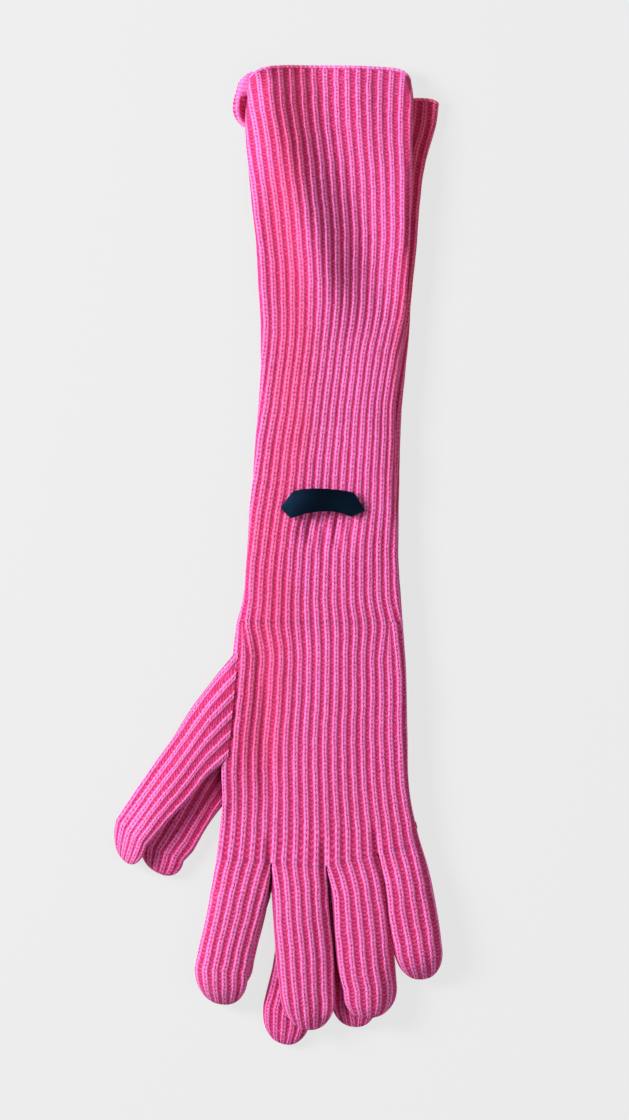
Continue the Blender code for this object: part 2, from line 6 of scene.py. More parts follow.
import bmesh
import bpy
import numpy as np
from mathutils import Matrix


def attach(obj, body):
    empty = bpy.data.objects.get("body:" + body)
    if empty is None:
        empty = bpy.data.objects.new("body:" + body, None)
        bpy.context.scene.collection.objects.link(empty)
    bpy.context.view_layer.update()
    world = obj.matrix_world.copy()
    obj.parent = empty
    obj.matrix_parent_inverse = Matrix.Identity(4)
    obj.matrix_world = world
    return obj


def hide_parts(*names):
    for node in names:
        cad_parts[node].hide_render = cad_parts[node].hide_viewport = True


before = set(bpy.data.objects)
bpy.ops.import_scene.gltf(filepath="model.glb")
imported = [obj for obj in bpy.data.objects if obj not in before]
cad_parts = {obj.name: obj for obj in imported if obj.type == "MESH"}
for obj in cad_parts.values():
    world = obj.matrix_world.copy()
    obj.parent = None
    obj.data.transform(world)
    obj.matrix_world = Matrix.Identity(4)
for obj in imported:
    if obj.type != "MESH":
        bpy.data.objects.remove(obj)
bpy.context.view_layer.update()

# ---- The wool ------------------------------------------------------------------------------------
# Soft hot-pink wool, knitted in a one-by-one rib: wales of plain stitches stand up between valleys
# of purl stitches. The yarn is hairy, so it glows where light rakes it. Shade is painted into its
# colour: darker in the valleys and in the small holes down the middle of each wale.
# Lengths in this script are in millimetres, and become metres in a mesh or a material.
MM = 0.001
WALE_EDGE = 0.3  # half-width of a wale on the flat pattern, in ribs
FUZZ_SCALE = 1100.0  # of the yarn's fuzz, over a metre
HAIR_SCALE = 3200.0
STITCH_RELIEF = 0.36
HAIR_RELIEF = 0.08
LIGHT_REACH = 2.0  # how far light goes into the yarn
# Painted shade: a darker, warmer pink laid along bands where the cloth lies in shade
PAINTED_SHADE_PINK = (0.78, 0.12, 0.22, 1.0)
SHADE_BAND_CORE = 2.0  # half-width of a painted shade band's middle
SHADE_BAND_FADE = 40.0  # over which a painted shade band comes in
ShadeBand = namedtuple("ShadeBand", "low_x low_y high_x high_y waver half_width start share")


def new_group(name, inputs, outputs):
    group = bpy.data.node_groups.new(name, "ShaderNodeTree")
    for socket, kind in inputs:
        group.interface.new_socket(socket, in_out="INPUT", socket_type=kind)
    for socket, kind in outputs:
        group.interface.new_socket(socket, in_out="OUTPUT", socket_type=kind)
    return group, group.nodes.new("NodeGroupInput"), group.nodes.new("NodeGroupOutput")


def feed(tree, socket, value):
    if isinstance(value, bpy.types.NodeSocket):
        tree.links.new(value, socket)
    else:
        socket.default_value = value


def set_inputs(node, values):
    for socket, value in values.items():
        node.inputs[socket].default_value = value


def sum_of(tree, operation, first, second=0.0, third=0.0):
    """One step of arithmetic on numbers or on what other nodes give."""
    node = tree.nodes.new("ShaderNodeMath")
    node.operation = operation
    for socket, value in zip(node.inputs, (first, second, third)):
        feed(tree, socket, value)
    return node.outputs[0]


def ramp(tree, value, low, high, to_low=0.0, to_high=1.0):
    """A smooth step from to_low to to_high as the value goes from low to high."""
    node = tree.nodes.new("ShaderNodeMapRange")
    node.interpolation_type = "SMOOTHSTEP"
    feed(tree, node.inputs["Value"], value)
    set_inputs(node, {"From Min": low, "From Max": high, "To Min": to_low, "To Max": to_high})
    return node.outputs["Result"]


def mottle(tree, vector, scale, detail=2.0):
    node = tree.nodes.new("ShaderNodeTexNoise")
    feed(tree, node.inputs["Vector"], vector)
    set_inputs(node, {"Scale": scale, "Detail": detail})
    return node.outputs["Fac"]


def relief(tree, height, distance, strength=1.0, normal=None):
    """The normals of a bump, laid over those of another where there is one."""
    node = tree.nodes.new("ShaderNodeBump")
    set_inputs(node, {"Distance": distance * MM, "Strength": strength})
    tree.links.new(height, node.inputs["Height"])
    if normal:
        tree.links.new(normal, node.inputs["Normal"])
    return node.outputs["Normal"]


def jitter(tree, value, noise, amount):
    """The value, moved to and fro by a noise between 0 and 1."""
    return sum_of(tree, "ADD", value, sum_of(tree, "MULTIPLY_ADD", noise, amount, -amount / 2))


def stitch_wave(tree, place):
    """A wave that comes back with every stitch."""
    return sum_of(tree, "COSINE", sum_of(tree, "MULTIPLY", place, 2 * math.pi))


def blend_numbers(tree, share, first, second):
    node = tree.nodes.new("ShaderNodeMix")
    feed(tree, node.inputs[0], share)
    feed(tree, node.inputs[2], first)
    feed(tree, node.inputs[3], second)
    return node.outputs[0]


def blend_colours(tree, share, first, second):
    node = tree.nodes.new("ShaderNodeMix")
    node.data_type = "RGBA"
    feed(tree, node.inputs["Factor"], share)
    feed(tree, node.inputs[6], first)
    feed(tree, node.inputs[7], second)
    return node.outputs[2]


def rib_stitches():
    """Height and shade of the stitches, from a place counted in ribs across and courses along."""
    group, given, result = new_group(
        "rib_stitches",
        (("Place", "NodeSocketVector"), ("Cloth", "NodeSocketVector")),
        (("Height", "NodeSocketFloat"), ("Light", "NodeSocketFloat"), ("Fibre", "NodeSocketFloat")),
    )
    place = group.nodes.new("ShaderNodeSeparateXYZ")
    group.links.new(given.outputs["Place"], place.inputs[0])
    slow = mottle(group, given.outputs["Place"], 0.9)
    fuzz = mottle(group, given.outputs["Cloth"], FUZZ_SCALE, 3.0)
    hairs = mottle(group, given.outputs["Cloth"], HAIR_SCALE)
    across = jitter(group, jitter(group, place.outputs[0], slow, 0.08), fuzz, 0.1)
    along = jitter(group, jitter(group, place.outputs[1], slow, 0.8), fuzz, 0.5)
    # How far off a wale's middle a place lies, as a share of the wale's half-width
    off = sum_of(group, "ABSOLUTE", sum_of(group, "SUBTRACT", sum_of(group, "FRACT", across), 0.5))
    leg_off = sum_of(group, "DIVIDE", off, WALE_EDGE)
    wale = ramp(group, leg_off, 1.12, 0.74)
    # The two legs of each plain stitch lean to the middle of the wale, where a small gap is left
    leg_wave = stitch_wave(group, sum_of(group, "MULTIPLY_ADD", leg_off, -0.5, along))
    leg_side = sum_of(group, "ABSOLUTE", sum_of(group, "SUBTRACT", leg_off, 0.52))
    leg_body = ramp(group, leg_side, 0.6, 0.0)
    leg = sum_of(group, "MULTIPLY", leg_body, sum_of(group, "MULTIPLY_ADD", leg_wave, 0.5, 0.5))
    middle = ramp(group, leg_off, 0.46, 0.04)
    hole = ramp(group, stitch_wave(group, along), -0.5, 0.8, 0.08, 1.0)
    hole = sum_of(group, "MULTIPLY", middle, hole)
    # The purl stitches show as short bowed bars between the wales
    valley_off = sum_of(group, "DIVIDE", sum_of(group, "SUBTRACT", 0.5, off), 0.5 - WALE_EDGE)
    bow = sum_of(group, "MULTIPLY", sum_of(group, "MULTIPLY", valley_off, valley_off), 0.35)
    bar = ramp(group, stitch_wave(group, sum_of(group, "ADD", along, bow)), -0.6, 0.8)
    plain = sum_of(group, "MULTIPLY_ADD", leg, 0.75, 0.35)
    plain = sum_of(group, "MULTIPLY_ADD", hole, -0.6, plain)
    purl = sum_of(group, "MULTIPLY_ADD", bar, 0.45, -0.1)
    height = sum_of(group, "MULTIPLY_ADD", fuzz, 0.4, blend_numbers(group, wale, purl, plain))
    # Painted shade: the legs' tops are lightest, the holes between them and the purl valleys
    # darkest
    light_plain = sum_of(group, "MULTIPLY_ADD", leg, 0.5, 0.54)
    light_plain = sum_of(group, "MULTIPLY_ADD", hole, -0.6, light_plain)
    light_purl = sum_of(group, "MULTIPLY_ADD", bar, 0.21, 0.11)
    light = blend_numbers(group, wale, light_purl, light_plain)
    light = jitter(group, jitter(group, light, fuzz, 0.6), hairs, 0.4)
    group.links.new(height, result.inputs["Height"])
    group.links.new(light, result.inputs["Light"])
    group.links.new(hairs, result.inputs["Fibre"])
    return group


def wool_cloth(name, light, valley_shade, stitches, shade_bands):
    """The wool's material: its colour runs from a valley's painted shade to the light top of a
    wale.
    """
    material = bpy.data.materials.new(name)
    material.use_nodes = True
    tree = material.node_tree
    shader = tree.nodes["Principled BSDF"]
    places = tree.nodes.new("ShaderNodeUVMap")
    places.uv_map = "stitches"
    cloth = tree.nodes.new("ShaderNodeTexCoord")
    knit = tree.nodes.new("ShaderNodeGroup")
    knit.node_tree = stitches
    tree.links.new(places.outputs["UV"], knit.inputs["Place"])
    tree.links.new(cloth.outputs["Object"], knit.inputs["Cloth"])
    # Painted shade: the pink is darker and warmer along bands that waver down the glove
    spot = tree.nodes.new("ShaderNodeSeparateXYZ")
    tree.links.new(cloth.outputs["Object"], spot.inputs[0])
    drift = mottle(tree, cloth.outputs["Object"], 14.0, 3.0)
    painted_shade = 0.0
    for band in shade_bands:
        low_x, low_y, high_x, high_y = (place * MM for place in band[:4])
        middle = ramp(tree, spot.outputs[1], low_y, high_y, low_x, high_x)
        middle = sum_of(tree, "MULTIPLY_ADD", drift, band.waver * MM, middle)
        off_band = sum_of(tree, "ABSOLUTE", sum_of(tree, "SUBTRACT", spot.outputs[0], middle))
        start, full = band.start * MM, (band.start + SHADE_BAND_FADE) * MM
        share = ramp(tree, spot.outputs[1], start, full, 0.0, band.share)
        inside = ramp(tree, off_band, band.half_width * MM, SHADE_BAND_CORE * MM)
        painted_shade = sum_of(tree, "MAXIMUM", painted_shade, sum_of(tree, "MULTIPLY", inside, share))
    shaded_light = blend_colours(tree, painted_shade, light, PAINTED_SHADE_PINK)
    # Painted shade: the colour runs from the shaded valley pink to the lit pink of a wale's top
    colour = blend_colours(tree, ramp(tree, knit.outputs["Light"], 0.05, 0.95), valley_shade, shaded_light)
    tree.links.new(colour, shader.inputs["Base Color"])
    stitched = relief(tree, knit.outputs["Height"], STITCH_RELIEF, strength=0.9)
    hairy = relief(tree, knit.outputs["Fibre"], HAIR_RELIEF, normal=stitched)
    tree.links.new(hairy, shader.inputs["Normal"])
    # Light goes a little way into the yarn, most of all the red
    shader.subsurface_method = "BURLEY"
    set_inputs(shader, {
        "Subsurface Weight": 0.9,
        "Subsurface Radius": (1.0, 0.45, 0.6),
        "Subsurface Scale": LIGHT_REACH * MM,
        "Roughness": 0.95,
        "Specular IOR Level": 0.04,
        "Sheen Weight": 0.2,
        "Sheen Roughness": 0.5,
        "Sheen Tint": (1.0, 0.5, 0.9, 1.0),
    })
    return material


stitches = rib_stitches()
# The yarn's lit pink, and the painted shade of its valleys
UPPER_LIGHT, UPPER_VALLEY_SHADE = (0.79, 0.215, 0.535, 1.0), (0.43, 0.013, 0.078, 1.0)
UPPER_SHADE_BANDS = (
    ShadeBand(-22.0, -60.0, -10.0, 90.0, 30.0, 16.0, -125.0, 0.6),  # painted shade on the thumb's side
    ShadeBand(53.0, 60.0, 60.5, 180.0, 2.0, 5.0, 0.0, 0.55),  # painted shade along the arm's other fold
)
# The glove beneath is the same yarn with painted shade: both its colours are a little darker
LOWER_SHADED_LIGHT, LOWER_VALLEY_SHADE = (0.77, 0.17, 0.47, 1.0), (0.40, 0.010, 0.062, 1.0)
LOWER_SHADE_BANDS = (
    ShadeBand(39.0, -60.0, 51.0, 90.0, 30.0, 16.0, 0.0, 1.0),  # painted shadow on the part that shows
)
wools = {
    "upper_wool": wool_cloth("upper_wool", UPPER_LIGHT, UPPER_VALLEY_SHADE, stitches, UPPER_SHADE_BANDS),
    "lower_wool": wool_cloth("lower_wool", LOWER_SHADED_LIGHT, LOWER_VALLEY_SHADE, stitches, LOWER_SHADE_BANDS),
}

# ---- The arm of the glove beneath ----------------------------------------------------------------
# One ribbed tube of 34 ribs, knitted in the round and pressed flat, with a fold down each side.
# Its wall is a single thickness of cloth, and its underside lies flat on the surface.
WALL = 1.5  # each side of a tube's hollow
RIB = 0.6  # height of a wale over its valleys
EDGE_INSET = 0.4  # from a tube's outline to the valleys along its folds
CROWN = 1.0  # rise of a tube's upper wall half-way across
UNEVEN = 0.25  # rise and fall of the cloth between its creases
WALE_WIDTH = 2.5
WALE_LEAST, WALE_MOST = 0.46, 0.74  # part of a rib's width that its wale takes up
CLOTH = 1.1  # thickness of the wall that shows at an open end
ROW_STEP = 2.1
SETTLE_LENGTH = 10.0  # from a tube's end, over which its wales begin to wander
WANDER, WANDER_WAVE = 0.045, 4.9  # how far the wales wander, in ribs, and how quickly
OWN_WANDER, OWN_WAVE = 0.02, 1.7  # the same for each wale alone
SWELL, SWELL_WAVE = 0.1, 5.3  # how much a wale's height changes along it, and how quickly
WELD = 0.005  # vertices nearer than this become one
ARM_RIBS = 34
ARM_HOLLOW = 1.2
ARM_COURSES = (1.55, 1.9)  # length of a stitch at the cuff, which is pulled wide, and below it
COURSES_SETTLE = 0.55  # share of a tube over which its stitches change their length
CUFF_BEND_LENGTH = 14.0
NEW_RIB_LENGTH = 16.0  # over which a new rib grows to its full width
NEW_RIB_START = 0.15  # its width where it begins, of its full width
TIP_ROWS = 12
TIP_THINNING, TIP_THIN_POWER = 0.985, 2.4  # how much a finger thins to its tip, and how late
TIP_DRAWN_IN = 0.6  # where its last row closes, on the way to the tip
TIP_POWER = 2.3  # roundness of a finger tip's outline, 2 for an ellipse
TIP_SPREAD = 0.75  # how far the ribs stay apart at a tip, 1 for quite straight
PARTING_LENGTH = 11.0  # over which the fingers part from one another
LOWER_WRIST_Y = -36.9

Level = namedtuple("Level", "y left right rib_left rib_right lean")
Fold = namedtuple("Fold", "start_x start_y end_x end_y half_width height")
Root = namedtuple("Root", "hand_left hand_right opens_left opens_right")

LOWER_ARM = (
    Level(205.2, -4.0, 72.9, -5.0, 11.0, 0.0),
    Level(193.0, -4.6, 71.5, -5.3, 11.0, 0.0),
    Level(181.8, -5.4, 68.3, -5.6, 11.0, 0.0),
    Level(170.5, -6.2, 65.4, -5.8, 10.9, 0.01),
    Level(160.0, -7.0, 64.2, -6.0, 10.8, 0.02),
    Level(132.3, -8.1, 61.8, -6.2, 10.8, 0.05),
    Level(105.0, -6.9, 59.5, -6.2, 11.2, 0.08),
    Level(69.3, -6.8, 56.2, -5.8, 12.0, 0.12),
    Level(24.3, -9.9, 54.4, -5.0, 12.4, 0.1),
    Level(1.8, -11.7, 54.2, -4.6, 12.8, 0.05),
    Level(-20.7, -14.0, 55.4, -4.6, 12.8, 0.04),
    Level(LOWER_WRIST_Y, -16.7, 56.5, -4.7, 12.7, 0.05),
)
# How far the cuff's edge rises, or drops, at shares of its width
LOWER_CUFF = (
    (0.0, -1.5), (0.06, 0.0), (0.9, 0.0), (0.94, -0.2), (0.97, -0.8), (0.99, -1.9), (1.0, -3.6),
)
LOWER_FOLDS = (
    Fold(20.0, 190.0, 30.0, 120.0, 8.0, -0.5),
    Fold(62.0, 195.0, 56.0, 140.0, 5.0, 0.5),
    Fold(8.0, 60.0, 40.0, 20.0, 9.0, -0.4),
)
# A wale's section over one rib of the flat pattern
WALE_SHARES = (0.0, 0.1, 0.2, 0.27, 0.37, 0.5, 0.63, 0.73, 0.8, 0.9)
WALE_HEIGHTS = (0.0, 0.08, 0.36, 0.68, 0.93, 1.0, 0.93, 0.68, 0.36, 0.08)


def smooth_rows(table, step):
    """Rows on a smooth curve through the table, about a step apart, and their places along it."""
    rows = np.array(table, float)
    middle = (rows[:, 0:2] + rows[:, 2:4]) / 2
    lengths = np.linalg.norm(np.diff(middle, axis=0), axis=1)
    along = np.concatenate([[0.0], np.cumsum(lengths)])
    slopes = np.gradient(rows, along, axis=0)
    at = np.linspace(0, along[-1], max(2, round(along[-1] / step) + 1))
    i = np.clip(np.searchsorted(along, at, side="right") - 1, 0, len(lengths) - 1)
    t = ((at - along[i]) / lengths[i])[:, None]
    ends = (1 + 2 * t) * (1 - t) ** 2 * rows[i] + t * t * (3 - 2 * t) * rows[i + 1]
    turns = t * (1 - t) ** 2 * slopes[i] - t * t * (1 - t) * slopes[i + 1]
    return ends + lengths[i][:, None] * turns, at


def level_table(levels, hollow):
    return [(v.left, v.y, v.right, v.y, v.rib_left, v.rib_right, hollow, v.lean) for v in levels]


def cuff_bend(cuff, top):
    """How far a cuff's rows drop at their corners, fading below the edge."""
    shares, drops = zip(*cuff)

    def bend(row_y, share):
        part = np.clip((top - row_y) / CUFF_BEND_LENGTH, 0, 1)
        return (1 - part) * np.interp(share, shares, drops)

    return bend


def flattened(place, width, thick, opened):
    """Points and outward directions round a flattened tube, from its left fold over and back under.

    A side that is opened runs straight on into the tube beside it, in place of turning under.
    """
    radius, flat = thick / 2, width - thick
    arc = math.pi * radius / 2
    side = np.where(place < 1, 1.0, -1.0)
    share = np.where(place < 1, place % 1, 1 - place % 1)
    zones = [arc + (radius - arc) * part for part in opened]
    total = zones[0] + flat + zones[1]
    run = share * total
    across = np.clip(run - zones[0], 0, flat) - flat / 2
    out_across, out_up = np.zeros_like(run), np.ones_like(run)
    for sign, part, zone, into in zip((-1, 1), opened, zones, (run, total - run)):
        turn = np.clip(into / zone, 0, 1)
        bulge = (1 - part) * np.cos(turn * math.pi / 2)
        across = across + sign * radius * (bulge + part * (1 - turn))
        out_across = out_across + sign * bulge
        out_up = np.minimum(out_up, (1 - part) * np.sin(turn * math.pi / 2) + part)
    return across, side * radius * out_up, out_across, side * out_up


def creases(folds, x, y):
    """Height of the soft troughs and ridges, each fading towards its two ends and to its sides."""
    height = np.zeros_like(x)
    for fold in folds:
        run_x, run_y = fold.end_x - fold.start_x, fold.end_y - fold.start_y
        length = math.hypot(run_x, run_y)
        share = ((x - fold.start_x) * run_x + (y - fold.start_y) * run_y) / length**2
        off = ((x - fold.start_x) * run_y - (y - fold.start_y) * run_x) / length
        fade = np.clip(np.minimum(share, 1 - share) * 4 + 0.5, 0, 1)
        height += fold.height * fade * np.exp(-((off / fold.half_width) ** 2))
    return height


def round_of(ribs, rib, left, right, grown, new_ribs, lean):
    """Place round the section, 0 to 2, of a place counted in ribs."""

    def run(r):
        return r - (1 - grown) * sum(np.clip(r - new, 0, 1) for new in new_ribs)

    rib = left + (rib - left) % ribs
    over = (run(rib) - run(left)) / (run(right) - run(left))
    over = over + lean * over * (1 - over)
    under = 1 + (rib - right) / (ribs - (right - left))
    return np.where(rib <= right, over, under)


def rounded(share):
    """Half-width of a tip's outline at a share of its length, and the other way round."""
    return np.clip(1 - np.abs(share) ** TIP_POWER, 0, 1) ** (1 / TIP_POWER)


def gathered(rows, along, tip):
    """The rows, with those of the gathered tip after them where there is one.

    For each row it also gives how far on it lies towards the tip, its width and its thickness.
    """
    forward, shrink, puff = np.zeros(len(rows)), np.ones(len(rows)), np.ones(len(rows))
    if tip:
        steps = np.sin(np.linspace(0, 1, TIP_ROWS + 1)[1:] * math.pi / 2)
        thins = np.sqrt(1 - TIP_THINNING * steps**TIP_THIN_POWER)
        forward = np.concatenate([forward, steps, [TIP_DRAWN_IN]])
        shrink = np.concatenate([shrink, rounded(steps * rounded(TIP_SPREAD)), [0.0]])
        puff = np.concatenate([puff, thins, [0.0]])
        last = (rows[-1, 0:2] + rows[-1, 2:4]) / 2
        reach = math.dist(last, tip)
        along = np.concatenate([along, along[-1] + reach * steps, [along[-1] + reach * 1.02]])
        rows = np.concatenate([rows, np.repeat(rows[-1:], len(steps) + 1, axis=0)])
    return rows, along, forward, shrink, puff


def mesh_of(name, bm):
    mesh = bpy.data.meshes.new(name)
    bm.to_mesh(mesh)
    bm.free()
    return mesh


def placed(data):
    """The scene's object for this mesh, lamp or camera, under the same name."""
    item = bpy.data.objects.new(data.name, data)
    bpy.context.scene.collection.objects.link(item)
    return item


def knitted_tube(
    name, table, ribs, courses, bed,
    folds=(), bend=None, tip=None, new_ribs=(), flat_under=False, seed=1, root=None,
):
    """A flattened ribbed tube: a grid laid round the rows, its wales raised, closed and walled."""
    rows, along = smooth_rows(table, ROW_STEP)
    body = along[-1]
    rows, along, forward, shrink, puff = gathered(rows, along, tip)
    per_rib = len(WALE_SHARES)
    first = math.floor(rows[:, 4].min()) - 1
    bm = bmesh.new()
    bmesh.ops.create_grid(bm, x_segments=ribs * per_rib, y_segments=len(rows) - 1, size=0.5)
    mesh = mesh_of(name, bm)
    flat = np.zeros(len(mesh.vertices) * 3)
    mesh.vertices.foreach_get("co", flat)
    flat = flat.reshape(-1, 3)
    column = np.round((flat[:, 0] + 0.5) * ribs * per_rib).astype(int)
    row = np.round((flat[:, 1] + 0.5) * (len(rows) - 1)).astype(int)
    whole, share = column // per_rib, np.array(WALE_SHARES)[column % per_rib]
    pattern = first + whole + share
    raise_by = np.array(WALE_HEIGHTS)[column % per_rib]

    left, right = rows[row, 0:2], rows[row, 2:4]
    length = np.linalg.norm(right - left, axis=1)
    toward = (right - left) / length[:, None]
    grown = np.ones(len(row))
    if new_ribs:
        grown = np.clip(along[row] / NEW_RIB_LENGTH, NEW_RIB_START, 1)
    pitch = length / (rows[row, 5] - rows[row, 4] - (1 - grown) * len(new_ribs))
    half_wale = np.clip(WALE_WIDTH / pitch, WALE_LEAST, WALE_MOST) / 2
    off = share - 0.5
    inside = off / WALE_EDGE * half_wale
    past = (np.abs(off) - WALE_EDGE) / (0.5 - WALE_EDGE)
    outside = np.sign(off) * (half_wale + past * (0.5 - half_wale))
    rib = first + whole + 0.5 + np.where(np.abs(off) <= WALE_EDGE, inside, outside)
    # The wales wander a little, mostly together, and stand a little higher or lower here and there
    chance = np.random.default_rng(seed)
    wander_phase, _, lift_phase = np.cumsum(chance.uniform(-0.8, 0.8, (3, ribs + 1)), axis=1)
    own = chance.uniform(0, 2 * math.pi, ribs + 1)
    here = np.floor(rib).astype(int) % ribs
    settled = np.clip(np.minimum(along, along if tip else body - along) / SETTLE_LENGTH, 0, 1)[row]
    wander = WANDER * np.sin(along[row] / WANDER_WAVE + wander_phase[here])
    wander += OWN_WANDER * np.sin(along[row] / OWN_WAVE + own[here])
    rib = rib + settled * wander * np.sin(math.pi * share)
    lift = 1 + SWELL * settled * np.sin(along[row] / SWELL_WAVE + lift_phase[here])

    place = round_of(ribs, rib, rows[row, 4], rows[row, 5], grown, new_ribs, rows[row, 7])
    raised = RIB * raise_by * lift * puff[row] ** 1.5
    for new in new_ribs:
        raised = np.where((pattern > new) & (pattern < new + 1), raised * grown, raised)
    # At its root a finger is still a part of the hand's one broad tube, open to its neighbours
    opened = [np.zeros(len(row))] * 2
    if root:
        parting = np.clip(1 - along[row] / PARTING_LENGTH, 0, 1)
        parting = parting * parting * (3 - 2 * parting)
        opened = [parting * root.opens_left, parting * root.opens_right]
    insets = [EDGE_INSET * (1 - part) for part in opened]
    full = 2 * WALL + rows[row, 6]
    width = np.maximum((length - insets[0] - insets[1]) * shrink[row], 1e-4)
    thick = np.clip(full * puff[row], 1e-5, 0.9 * width)
    across, up, out_across, out_up = flattened(place, width, thick, opened)
    across = across + (insets[0] - insets[1]) / 2
    if flat_under:
        raised = raised * np.clip(1 + 1.5 * out_up, 0, 1)
    reach_across = across + out_across * raised
    point = (left + right) / 2 + toward * reach_across[:, None]
    if tip:
        run = np.array(tip) - (left + right) / 2
        point = point + run * (forward[row] * rounded(2 * across / width * TIP_SPREAD))[:, None]
    x, y = point[:, 0], point[:, 1]
    if bend:
        y = y + bend(rows[row, 1], reach_across / length + 0.5)
    top = np.clip(out_up, 0, 1)
    uneven = UNEVEN * np.sin(x / 7.3 + y / 19.0) * np.sin(y / 12.7 - x / 23.0)
    crown = CROWN * (1 - (2 * across / width) ** 2)
    if root:
        over_hand = 2 * (x - root.hand_left) / (root.hand_right - root.hand_left) - 1
        crown = parting * CROWN * (1 - over_hand**2) + (1 - parting) * crown
    rise = puff[row] * (crown + creases(folds, x, y) + uneven)
    z = bed(x, y) + full / 2 + up + out_up * raised + top * rise
    mesh.vertices.foreach_set("co", (np.stack([x, y, z], axis=1) * MM).ravel())

    # The material counts its stitches on this map: ribs across and courses along
    stitch = np.interp(along, (0, COURSES_SETTLE * along[-1]), courses)
    counted = np.concatenate([[0.0], np.cumsum(np.diff(along) / stitch[1:])])
    corners = np.zeros(len(mesh.loops), int)
    mesh.loops.foreach_get("vertex_index", corners)
    places = np.stack([pattern, counted[row]], axis=1)[corners]
    mesh.uv_layers.new(name="stitches").data.foreach_set("uv", places.ravel())
    return walled(mesh)


def walled(mesh, rim=False):
    """Closes the mesh's seam, turns its faces outwards, and gives it the thickness of the cloth.

    A tube has no rim, because it goes on into the next one, or ends in the cast-on cord.
    """
    bm = bmesh.new()
    bm.from_mesh(mesh)
    bmesh.ops.remove_doubles(bm, verts=bm.verts, dist=WELD * MM)
    bmesh.ops.recalc_face_normals(bm, faces=bm.faces)
    middle = sum(face.calc_center_median().z for face in bm.faces) / len(bm.faces)
    if sum(face.normal.z * (face.calc_center_median().z - middle) for face in bm.faces) < 0:
        bmesh.ops.reverse_faces(bm, faces=bm.faces)
    bm.to_mesh(mesh)
    bm.free()
    mesh.shade_smooth()
    piece = placed(mesh)
    wall = piece.modifiers.new("cloth", "SOLIDIFY")
    wall.thickness = CLOTH * MM
    wall.offset = -1.0
    wall.use_rim = rim
    return piece


def finish_knit(piece, node, slot):
    """Gives the piece its wool, hangs it from the root, and hides the part that it stands for."""
    piece.data.materials.append(wools[slot])
    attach(piece, "root")
    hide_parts(node)


def surface_bed(x, y):
    """Height of what the lower glove lies on."""
    return np.zeros_like(x)


lower_arm = knitted_tube(
    "lower_arm_knit", level_table(LOWER_ARM, ARM_HOLLOW), ARM_RIBS, ARM_COURSES, surface_bed,
    LOWER_FOLDS, bend=cuff_bend(LOWER_CUFF, LOWER_ARM[0].y), flat_under=True, seed=1,
)
finish_knit(lower_arm, "lower_arm", "lower_wool")

# ---- The hand of the glove beneath ---------------------------------------------------------------
# The tube goes on from the wrist with six more ribs, two of them on the side that shows, and ends
# along the bent line where the four fingers are picked up.
HAND_RIBS = 40
HAND_HOLLOW = 1.4
HAND_COURSES = (1.85, 1.85)
NEW_RIBS = (-5, 11)
ROOT_RIBS = (-6.0, 13.4)  # the first and the last rib that come down to the roots on this side
ROOT_BEND_LENGTH = 16.0  # over which the bent line of the roots straightens out
LOWER_HAND = (
    Level(LOWER_WRIST_Y, -16.7, 56.5, -5.6, 13.4, 0.05),
    Level(-54.0, -18.7, 57.5, -6.0, 13.4, 0.06),
    Level(-74.7, -20.5, 58.1, -6.0, 13.4, 0.06),
    Level(-92.7, -22.0, 58.3, -6.0, 13.4, 0.06),
    Level(-105.5, -23.1, 58.5, -6.0, 13.4, 0.05),
    Level(-124.2, -22.9, 60.0, -6.0, 13.4, 0.0),
)
LOWER_ROOTS = ((-24.8, -144.9), (-1.8, -148.5), (22.1, -149.8), (45.9, -143.6), (63.0, -138.6))


def hand_table(levels, roots):
    """The hand's rows down to the finger roots, and how far those roots leave a straight line."""
    (left_x, left_y), (right_x, right_y) = roots[0], roots[-1]
    table = level_table(levels, HAND_HOLLOW)
    table[0] = table[0][:6] + (ARM_HOLLOW, table[0][7])
    table.append((left_x, left_y, right_x, right_y, ROOT_RIBS[0], ROOT_RIBS[-1], HAND_HOLLOW, 0.0))
    shares = [(x - left_x) / (right_x - left_x) for x, _ in roots]
    drops = [y - left_y - share * (right_y - left_y) for (_, y), share in zip(roots, shares)]

    def bend(row_y, share):
        part = np.clip((row_y - left_y) / ROOT_BEND_LENGTH, 0, 1)
        return (1 - part) * np.interp(share, shares, drops)

    return table, bend


lower_table, lower_bend = hand_table(LOWER_HAND, LOWER_ROOTS)
lower_hand = knitted_tube(
    "lower_hand_knit", lower_table, HAND_RIBS, HAND_COURSES, surface_bed, LOWER_FOLDS,
    bend=lower_bend, new_ribs=NEW_RIBS, flat_under=True, seed=2,
)
finish_knit(lower_hand, "lower_hand", "lower_wool")

